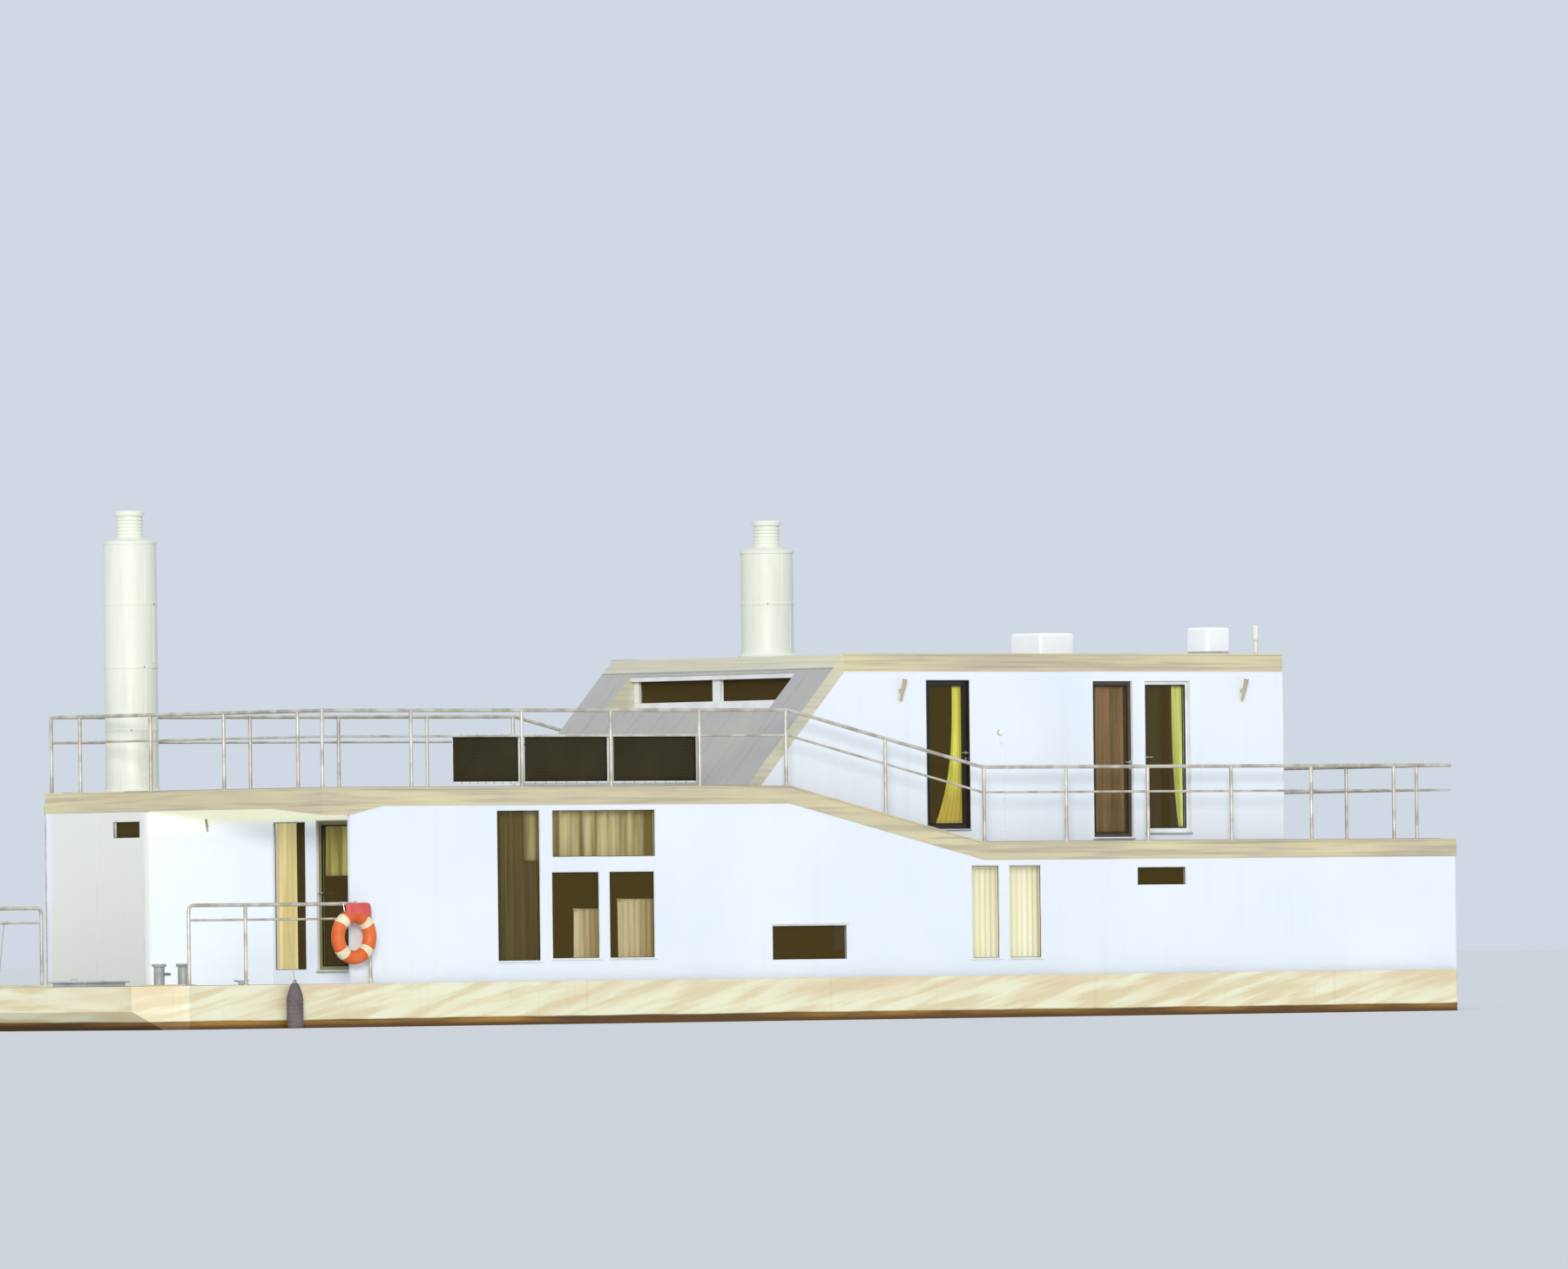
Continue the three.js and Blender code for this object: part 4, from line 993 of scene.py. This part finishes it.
def make_deck_rail(label, side, posts):
    y = side * DECK_RAIL_Y
    rail = Form()
    foot, top, middle = DECK + 0.001, DECK + DECK_RAIL_TOP, DECK + DECK_RAIL_MIDDLE
    first, last = posts[0], posts[-1]
    hoop = [at(first, y, foot), at(first, y, top), at(last, y, top), at(last, y, foot)]
    rail.tube(rounded(hoop, 0.09, 7), RAIL_R, 14)
    for s in posts[1:-1]:
        rail.tube([at(s, y, foot), at(s, y, top - 0.01)], RAIL_R, 14)
    rail.tube([at(first, y, middle), at(last, y, middle)], RAIL_THIN, 12)
    for s in posts:
        rail.turned(at(s, y, DECK + 0.0008), [(0.042, 0), (0.042, 0.008), (0.028, 0.02)], 18)
    rail.done(f"deck_rail_{label}", "tube", "rail_tube", replaces=[f"rail_{label}_foredeck"])


for side in (-1, 1):
    make_side_rail(side)
make_cross_rail("rail_bow", FORE_CORNER, FORE_TOP, BOW_POSTS)
make_cross_rail("rail_stern", AFT_CORNER, AFT_TOP, STERN_POSTS)
for row in DECK_RAILS:
    make_deck_rail(*row)

# Windbreak: three dark mesh panels laced between flat white posts and thin white bars, inside the near rail
SCREENS = [(2.41, 3.58), (3.69, 5.18), (5.29, 6.79)]
SCREEN_Z = (3.29, 3.955)
SCREEN_Y = -RAIL_Y + RAIL_R + 0.0145
SCREEN_POST_IN, SCREEN_POST_WIDE = 0.012, 0.105
SCREEN_BAR = 0.024
SCREEN_COLUMNS, SCREEN_ROWS, SCREEN_TIES = 24, 12, 7


def make_windbreak():
    bars, cloths, ties = Form(), Form(), Form()
    plane = Plane(at(0, SCREEN_Y, 0), (1, 0, 0), (0, -1, 0))
    middles = [(a[1] + b[0]) / 2 for a, b in zip(SCREENS, SCREENS[1:])]
    ends = [SCREENS[0][0] + 0.02, SCREENS[-1][1] - 0.02]
    for u, wide in [(u, SCREEN_POST_WIDE) for u in middles] + [(u, 0.04) for u in ends]:
        bars.block(plane, (u - wide / 2, u + wide / 2), SCREEN_Z, (-0.016, -SCREEN_POST_IN + 0.006))
    for z in (SCREEN_Z[0], SCREEN_Z[1] - SCREEN_BAR):
        bars.block(plane, (ends[0], ends[1]), (z, z + SCREEN_BAR), (-0.005, 0.004))
    for s0, s1 in SCREENS:
        columns, rows = SCREEN_COLUMNS, SCREEN_ROWS
        low, high = SCREEN_Z[0] + SCREEN_BAR, SCREEN_Z[1] - SCREEN_BAR
        grid = []
        for r in range(rows + 1):
            v = low + (high - low) * r / rows
            line = []
            for c in range(columns + 1):
                u = s0 + 0.004 + (s1 - s0 - 0.008) * c / columns
                belly = math.sin(math.pi * c / columns) * math.sin(math.pi * r / rows)
                line.append(plane(u, v, 0.006 * belly * math.sin(5 * u + 2 * v)))
            grid.append(line)
        cloths.rings(grid, closed=False)
        for k in range(1, SCREEN_TIES + 1):
            u = s0 + (s1 - s0) * k / (SCREEN_TIES + 1)
            for v in (SCREEN_Z[0] + SCREEN_BAR / 2, SCREEN_Z[1] - SCREEN_BAR / 2):
                tie = [plane(u, v + 0.016 * math.cos(t), 0.009 * math.sin(t)) for t in full_turn(10)]
                ties.tube(tie, 0.0022, 6, loop=True)
    bars.done("windbreak_frame", "white", "rail_tube", replaces=["windbreak"], bevel=0.002)
    cloth_piece = cloths.done("windbreak_mesh", "mesh", "windbreak", replaces=["windbreak"], thick=0.0015)
    ties.done("windbreak_ties", "black", "windbreak")
    high = SCREEN_Z[1] - SCREEN_Z[0] - 2 * SCREEN_BAR


make_windbreak()

# Flues. Each row: name, s, y, foot, tube top, flue top
FLUES = [
    ("chimney_fore", 0.80, 2.05, FORE_TOP, 6.69, 7.105),
    ("chimney_upper", 10.625, 0.0, UPPER_TOP, 6.557, 6.97),
]
TUBE_R, PIPE_R, COLLAR_R, CAP_R = 0.365, 0.175, 0.42, 0.205
COWL_RIBS = 5


def make_flue(name, s, y, foot, tube_top, top):
    """A wrapped flue with its collar, bands, clamps, lengthwise seams and slotted cowl."""
    flue, clamps = Form(), Form()
    rise = tube_top - foot
    profile = [(COLLAR_R, foot + 0.001), (COLLAR_R, foot + 0.022), (COLLAR_R - 0.012, foot + 0.03),
               (TUBE_R + 0.012, foot + 0.055), (TUBE_R + 0.004, foot + 0.10), (TUBE_R, foot + 0.11)]
    bands = max(1, int(rise / 1.15))
    for k in range(1, bands + 1):
        z = foot + rise * k / (bands + 1)
        band = TUBE_R + 0.006
        profile += [(TUBE_R, z - 0.02), (band, z - 0.017), (band, z + 0.017), (TUBE_R, z + 0.02)]
        turn = math.radians(200 + 30 * k)
        way = Vector((math.cos(turn), math.sin(turn), 0))
        clamps.turned(at(s, y, z) + way * (TUBE_R + 0.014), [(0.007, -0.014), (0.007, 0.014)], 8)
    rim = TUBE_R + 0.008
    profile += [(TUBE_R, tube_top - 0.05), (rim, tube_top - 0.045), (rim, tube_top - 0.012),
                (TUBE_R - 0.004, tube_top - 0.004), (PIPE_R + 0.03, tube_top + 0.035),
                (PIPE_R, tube_top + 0.055)]
    for k in range(COWL_RIBS):
        z = tube_top + 0.09 + (top - tube_top - 0.18) * k / COWL_RIBS
        profile += [(PIPE_R, z), (PIPE_R + 0.014, z + 0.012), (PIPE_R, z + 0.034)]
    profile += [(PIPE_R, top - 0.072), (CAP_R - 0.003, top - 0.068), (CAP_R, top - 0.060),
                (CAP_R, top - 0.012), (CAP_R - 0.012, top), (PIPE_R - 0.03, top),
                (PIPE_R - 0.035, top - 0.02)]
    flue.turned(at(s, y, 0), profile, 64)
    for k in range(bands + 1):
        low = foot + 0.11 + (rise - 0.11) * k / (bands + 1)
        high = foot + 0.09 + (rise - 0.11) * (k + 1) / (bands + 1)
        turn = math.radians(70 + 25 * (k % 2))
        seam = [at(s + TUBE_R * math.cos(turn), y - TUBE_R * math.sin(turn), z) for z in (low, high)]
        flue.tube(seam, 0.006, 8)
    flue.done(name, "flue", "flue", replaces=[name], sharp=28)
    clamps.done(name + "_clamps", "steel", "flue")


for row in FLUES:
    make_flue(*row)

# Rooflights. Each row: name, s, y, width, height
ROOFLIGHTS = [("rooflight_fore", 15.79, 0.0, 0.655, 0.345), ("rooflight_aft", 17.55, -1.55, 0.45, 0.40)]
LID_START, LID_OVERHANG, LID_EASE, LID_CORNER = 0.15, 0.018, 0.045, 0.05
LID_STEPS, LID_ARCS = 8, 5


def make_rooflight(name, s, y, width, height):
    """A moulded lid with eased shoulders and rounded corners, over a flanged curb."""
    half = width / 2
    curb, lid = Form(), Form()
    for inset, rise in ((LID_OVERHANG, height * 0.5), (0.004, 0.02)):
        sides = [(c - half + inset, c + half - inset) for c in (s, y)]
        curb.box(*sides, (UPPER_TOP + 0.001, UPPER_TOP + rise))
    curb.done(name + "_curb", "sill", "flue", bevel=0.004)
    outline = [(half, UPPER_TOP + height * LID_START)]
    for k in range(LID_STEPS + 1):
        turn = math.pi / 2 * k / LID_STEPS
        inset = LID_EASE * (1 - math.cos(turn))
        outline.append((half - inset, UPPER_TOP + height - LID_EASE * (1 - math.sin(turn))))
    rings = []
    for reach, z in outline:
        ring, arm = [], reach - LID_CORNER
        for q, (aft, over) in enumerate(((arm, arm), (-arm, arm), (-arm, -arm), (arm, -arm))):
            for k in range(LID_ARCS + 1):
                turn = math.pi / 2 * (q + k / LID_ARCS)
                ease_s, ease_y = LID_CORNER * math.cos(turn), LID_CORNER * math.sin(turn)
                ring.append(at(s + aft + ease_s, y + over + ease_y, z))
        rings.append(ring)
    lid.rings(rings)
    lid.done(name, "lid", "flue", replaces=[name])


for row in ROOFLIGHTS:
    make_rooflight(*row)

# Life ring on the foredeck rail, with its white bands, grab line, hooks and line bag
RING_S, RING_Z = 0.38, 1.225
RING_R, RING_TUBE = 0.28, 0.098
RING_Y = -DECK_RAIL_Y - RAIL_R - RING_TUBE - 0.0003
RING_BAND = 11


def ring_point(angle, reach, out=0.0):
    return at(RING_S + reach * math.cos(angle), RING_Y - out, RING_Z + reach * math.sin(angle))


def make_life_ring():
    ring, bands, line, hooks, bag = Form(), Form(), Form(), Form(), Form()
    ring.tube([ring_point(t, RING_R) for t in full_turn(72)], RING_TUBE - 0.004, 28, loop=True)
    quarter = math.pi / 2
    for t in [quarter * k + quarter / 2 for k in range(4)]:
        arc = [t + math.radians(RING_BAND * a / 4) for a in range(-4, 5)]
        bands.tube([ring_point(a, RING_R) for a in arc], RING_TUBE - 0.001, 28)
    rope = []
    for t in full_turn(96):
        slack = abs(math.sin(2 * (t - quarter / 2)))
        rope.append(ring_point(t, RING_R + RING_TUBE - 0.014 - 0.004 * slack, 0.030 * slack + 0.008))
    line.tube(rope, 0.005, 8, loop=True)
    over, top = DECK + DECK_RAIL_TOP + 0.03, RING_Z + RING_R
    under = top - RING_TUBE - 0.012
    hook = [(-DECK_RAIL_Y, over), (-DECK_RAIL_Y - 0.05, over), (RING_Y + 0.02, under),
            (RING_Y - 0.06, under), (RING_Y - 0.086, top - 0.03)]
    for a in (-0.12, 0.12):
        hooks.tube(rounded([at(RING_S + a, y, z) for y, z in hook], 0.02, 4), 0.005, 10)
    plane = Plane(at(0, -DECK_RAIL_Y - RAIL_R, 0), (1, 0, 0), (0, -1, 0))
    bag.block(plane, (RING_S - 0.16, RING_S + 0.24), (top - 0.03, top + 0.175), (0.105, 0.185))
    ring.done("life_ring", "ring", "life_ring", replaces=["life_ring"])
    bands.done("life_ring_bands", "band", "life_ring")
    line.done("life_ring_line", "rope", "life_ring")
    hooks.done("life_ring_hooks", "steel", "rail_tube")
    bag.done("line_bag", "bag", "life_ring", bevel=0.03)


make_life_ring()

# Fenders: ribbed, with a tapering neck, hung by a short line from the deck rail
FENDER_S, FENDER_R, FENDER_Z = -0.70, 0.115, (-0.02, 0.61)
HULL_Y = 3.05


def make_fender(label, side):
    y = side * (HULL_Y + FENDER_R + 0.0003)
    low, high = FENDER_Z
    core = FENDER_R - 0.004
    profile = [(0.035, low), (0.065, low + 0.006), (0.098, low + 0.026), (core, low + 0.05)]
    for k in range(7):
        z = low + 0.07 + (high - low - 0.30) * k / 6
        profile += [(core, z - 0.014), (FENDER_R, z - 0.006), (FENDER_R, z + 0.006), (core, z + 0.014)]
    neck = [(core, 0.205), (0.105, 0.17), (0.088, 0.11), (0.066, 0.045), (0.05, 0.012), (0.035, 0.0)]
    profile += [(r, high - d) for r, d in neck]
    body = Form()
    body.turned(at(FENDER_S, y, 0), profile, 32)
    eye = [at(FENDER_S + 0.022 * math.cos(t), y, high + 0.014 + 0.022 * math.sin(t)) for t in full_turn(16)]
    body.tube(eye, 0.008, 8, loop=True)
    body.done(f"fender_{label}", "rubber", "fender", replaces=[f"fender_{label}"])
    line = Form()
    rail_y = side * DECK_RAIL_Y
    top = DECK + DECK_RAIL_MIDDLE
    line.tube([at(FENDER_S, y, high + 0.03), at(FENDER_S, y - side * 0.03, high + 0.2),
               at(FENDER_S, rail_y + side * 0.024, top)], 0.006, 8)
    wrap = [at(FENDER_S + 0.004 * k, rail_y + 0.022 * math.cos(2.1 * k), top + 0.022 * math.sin(2.1 * k))
            for k in range(12)]
    line.tube(wrap, 0.006, 8)
    line.done(f"fender_line_{label}", "rope", "fender")


make_fender("near", -1)
make_fender("far", 1)

# Small fittings: lamps, pipes, cover strips, deck gear. Each row of lamps: face, u, v, scale
LAMPS = [(face, u, 4.41, 1) for face in ("upper_near", "upper_far") for u in (10.90, 17.34)]
LAMPS.append(("angled", 0.93, 2.68, 0.55))
LAMP_HIGH, LAMP_LEAN = 0.31, 0.10
LAMP_PROFILE = [(0.010, 0.0), (0.018, 0.006), (0.034, 0.97), (0.036, 0.99), (0.032, 1.0)]
BULKHEAD_LIGHTS = [
    ("upper_near", 12.75, 3.97), ("upper_stern", 1.9, 4.2), ("stern", 2.2, 1.75), ("stern", -2.2, 1.75),
]
BULKHEAD_SHELL = [(0.036, 0), (0.036, 0.014), (0.031, 0.02)]
BULKHEAD_LENS = [(0.03, 0), (0.027, 0.014), (0.016, 0.024), (0.005, 0.027)]
PIPE_S, PIPE_Y, DOWNPIPE_R = 0.06, HOUSE_Y + 0.0383, 0.037
BRACKETS = (0.95, 1.75, 2.55)
PIPE_HEAD = [(0.038, 0), (0.044, 0.01), (0.048, 0.06), (0.05, 0.12), (0.05, 0.13)]
PIPE_BRACKET = [(0.0385, -0.016), (0.043, -0.013), (0.043, 0.013), (0.0385, 0.016)]
CONDUIT = [(12.75, 3.93), (12.75, 3.86), (12.82, 3.80), (12.82, 2.47)]
CLIP_U, CLIP_V = (12.803, 12.837), (3.5, 3.05, 2.6)
BOW_STRIPS, FAR_STRIPS, STRIP_HALF = (0.855, 1.86, 2.93), (4.6, 10.6, 16.9), 0.009


def make_lamps():
    """Narrow lamps on the upper walls that widen upwards and lean outwards, and round bulkhead lights."""
    shells, lenses = Form(), Form()
    for face, u, v, scale in LAMPS:
        plane = FACE[face]
        foot = plane(u, v, 0.022 * scale)
        axis = plane.up * LAMP_HIGH + plane.out * LAMP_LEAN
        long = axis.length * scale
        shells.turned(foot, [(r * scale, d * long) for r, d in LAMP_PROFILE], 24, axis)
        middle, half, reach = v + 0.12 * scale, 0.018 * scale, 0.05 * scale
        shells.block(plane, (u - half, u + half), (middle, middle + reach), (0.001, reach))
        rim = 0.03 * scale
        lenses.turned(foot + axis.normalized() * (long + 0.0005), [(rim, 0), (rim, 0.003)], 16, axis)
    for face, u, v in BULKHEAD_LIGHTS:
        plane = FACE[face]
        shells.turned(plane(u, v, 0.001), BULKHEAD_SHELL, 20, plane.out)
        lenses.turned(plane(u, v, 0.02), BULKHEAD_LENS, 20, plane.out)
    shells.done("lamp_shells", "lamp", "fascia")
    lenses.done("lamp_lenses", "lid", "flue")


def make_pipes():
    """Rainwater pipe at the far bow corner with brackets and head, and a thin conduit by the middle door."""
    pipe, conduit = Form(), Form()
    pipe.tube([at(PIPE_S, PIPE_Y, FORE_TOP - 0.17), at(PIPE_S, PIPE_Y, DECK + 0.001)], DOWNPIPE_R, 20)
    pipe.turned(at(PIPE_S, PIPE_Y, FORE_TOP - 0.30), PIPE_HEAD, 20)
    for z in BRACKETS:
        pipe.turned(at(PIPE_S, PIPE_Y, z), PIPE_BRACKET, 20)
    pipe.done("downpipe", "tube", "rail_tube", replaces=["downpipe"])
    plane = FACE["upper_near"]
    conduit.tube(rounded([plane(u, v, 0.010) for u, v in CONDUIT], 0.03), 0.008, 10)
    for v in CLIP_V:
        conduit.block(plane, CLIP_U, (v - 0.008, v + 0.008), (0.001, 0.020))
    conduit.done("wall_conduit", "white", "wall_paint")


def make_cover_strips():
    """Strips on the bow end wall, the far wall's joints and the upper stern corners."""
    strips = Form()
    for u in BOW_STRIPS:
        strips.block(FACE["bow"], (u - STRIP_HALF, u + STRIP_HALF), (DECK + 0.03, 2.92), (0.0006, 0.004))
    for u in FAR_STRIPS:
        top = min(2.98, roof_top(u) - EDGE_DEEP - 0.02)
        strips.block(FACE["far"], (u - STRIP_HALF, u + STRIP_HALF), (DECK + 0.03, top), (0.0006, 0.003))
    for face in ("upper_near", "upper_far"):
        strips.block(FACE[face], (UPPER_END - 0.024, UPPER_END), (2.42, 4.78), (0.0006, 0.006))
    strips.done("wall_cover_strips", "white", "wall_paint", bevel=0.001)


MOORING_S, MOORING_Y = -1.25, 2.7
HORNS = [(-0.12, 0.062), (-0.05, 0.054), (0.05, 0.054), (0.12, 0.062)]
BOLLARD_S, BOLLARD_Y, CROSS_BAR = (-2.31, -1.89), 2.25, (-2.31, -2.12)
SLEEVE = [(0.073, 0.021), (0.073, 0.258), (0.092, 0.2585), (0.097, 0.266), (0.097, 0.294), (0.09, 0.3005)]
HATCH_S, HATCH_Y, HATCH_LAP = (-2.2, -1.5), (-0.55, 0.15), 0.04
HINGE_S, HINGE_Y = (-1.47, -1.40), (-0.4, 0.0)
GRIP_S = -2.1
GRIP = [(-0.28, 0.07), (-0.28, 0.10), (-0.12, 0.10), (-0.12, 0.07)]


def make_hull_fittings():
    """Sleeves on the bollards, a hatch with its hinges and grip, and two mooring cleats on the foredeck."""
    gear, posts = Form(), Form()
    for side in (-1, 1):
        for s in BOLLARD_S:
            posts.turned(at(s, side * BOLLARD_Y, 0), [(r, DECK + h) for r, h in SLEEVE], 32)
        posts.tube([at(s, side * BOLLARD_Y, DECK + 0.16) for s in CROSS_BAR], 0.02, 12)
        y = side * MOORING_Y
        gear.box((MOORING_S - 0.035, MOORING_S + 0.035), (y - 0.022, y + 0.022), (DECK + 0.001, DECK + 0.05))
        cleat = at(MOORING_S, y, DECK)
        gear.tube([cleat + Vector((along, 0, up)) for along, up in HORNS], 0.014, 10)
    posts.done("bollard_sleeves", "gear", "hull_paint")
    gear.box(HATCH_S, HATCH_Y, (DECK + 0.001, DECK + 0.05))
    lid_s, lid_y = ((low - HATCH_LAP, high + HATCH_LAP) for low, high in (HATCH_S, HATCH_Y))
    gear.box(lid_s, lid_y, (DECK + 0.05, DECK + 0.075))
    for y in HINGE_Y:
        gear.tube([at(s, y, DECK + 0.07) for s in HINGE_S], 0.012, 10)
    gear.tube(rounded([at(GRIP_S, y, DECK + h) for y, h in GRIP], 0.015), 0.008, 10)
    gear.done("deck_gear", "sill", "hull_paint", bevel=0.004)


make_lamps()
make_pipes()
make_cover_strips()
make_hull_fittings()

# Studio: a pale floor at the waterline, soft daylight and one soft key from the near bow quarter
FLOOR_RADIUS = 1500.0
SKY_COLOUR, SKY_STRENGTH = (0.60, 0.66, 0.74, 1), 1.04
KEY_COLOUR, KEY_STRENGTH, KEY_SPREAD = (1.0, 0.97, 0.92), 1.66, math.radians(16)
KEY_FROM = (-0.92, -1.0, 0.36)


def make_studio():
    bpy.ops.mesh.primitive_circle_add(
        vertices=96, radius=FLOOR_RADIUS, fill_type="NGON", location=(0, 0, WATER))
    floor = bpy.context.object
    floor.name = "floor"
    pale = Finish("floor_pale", (0.80, 0.80, 0.79), 1.0, **{"Specular IOR Level": 0.0})
    floor.data.materials.append(pale.material)
    bpy.context.scene.view_settings.view_transform = "Standard"
    world = bpy.data.worlds.new("studio")
    bpy.context.scene.world = world
    world.use_nodes = True
    sky = world.node_tree.nodes["Background"]
    sky.inputs["Color"].default_value = SKY_COLOUR
    sky.inputs["Strength"].default_value = SKY_STRENGTH
    sun = bpy.data.lights.new("key", "SUN")
    sun.energy, sun.angle, sun.color = KEY_STRENGTH, KEY_SPREAD, KEY_COLOUR
    key = bpy.data.objects.new("key", sun)
    key.rotation_mode = "QUATERNION"
    key.rotation_quaternion = Vector(KEY_FROM).to_track_quat("Z", "Y")
    bpy.context.scene.collection.objects.link(key)


make_studio()
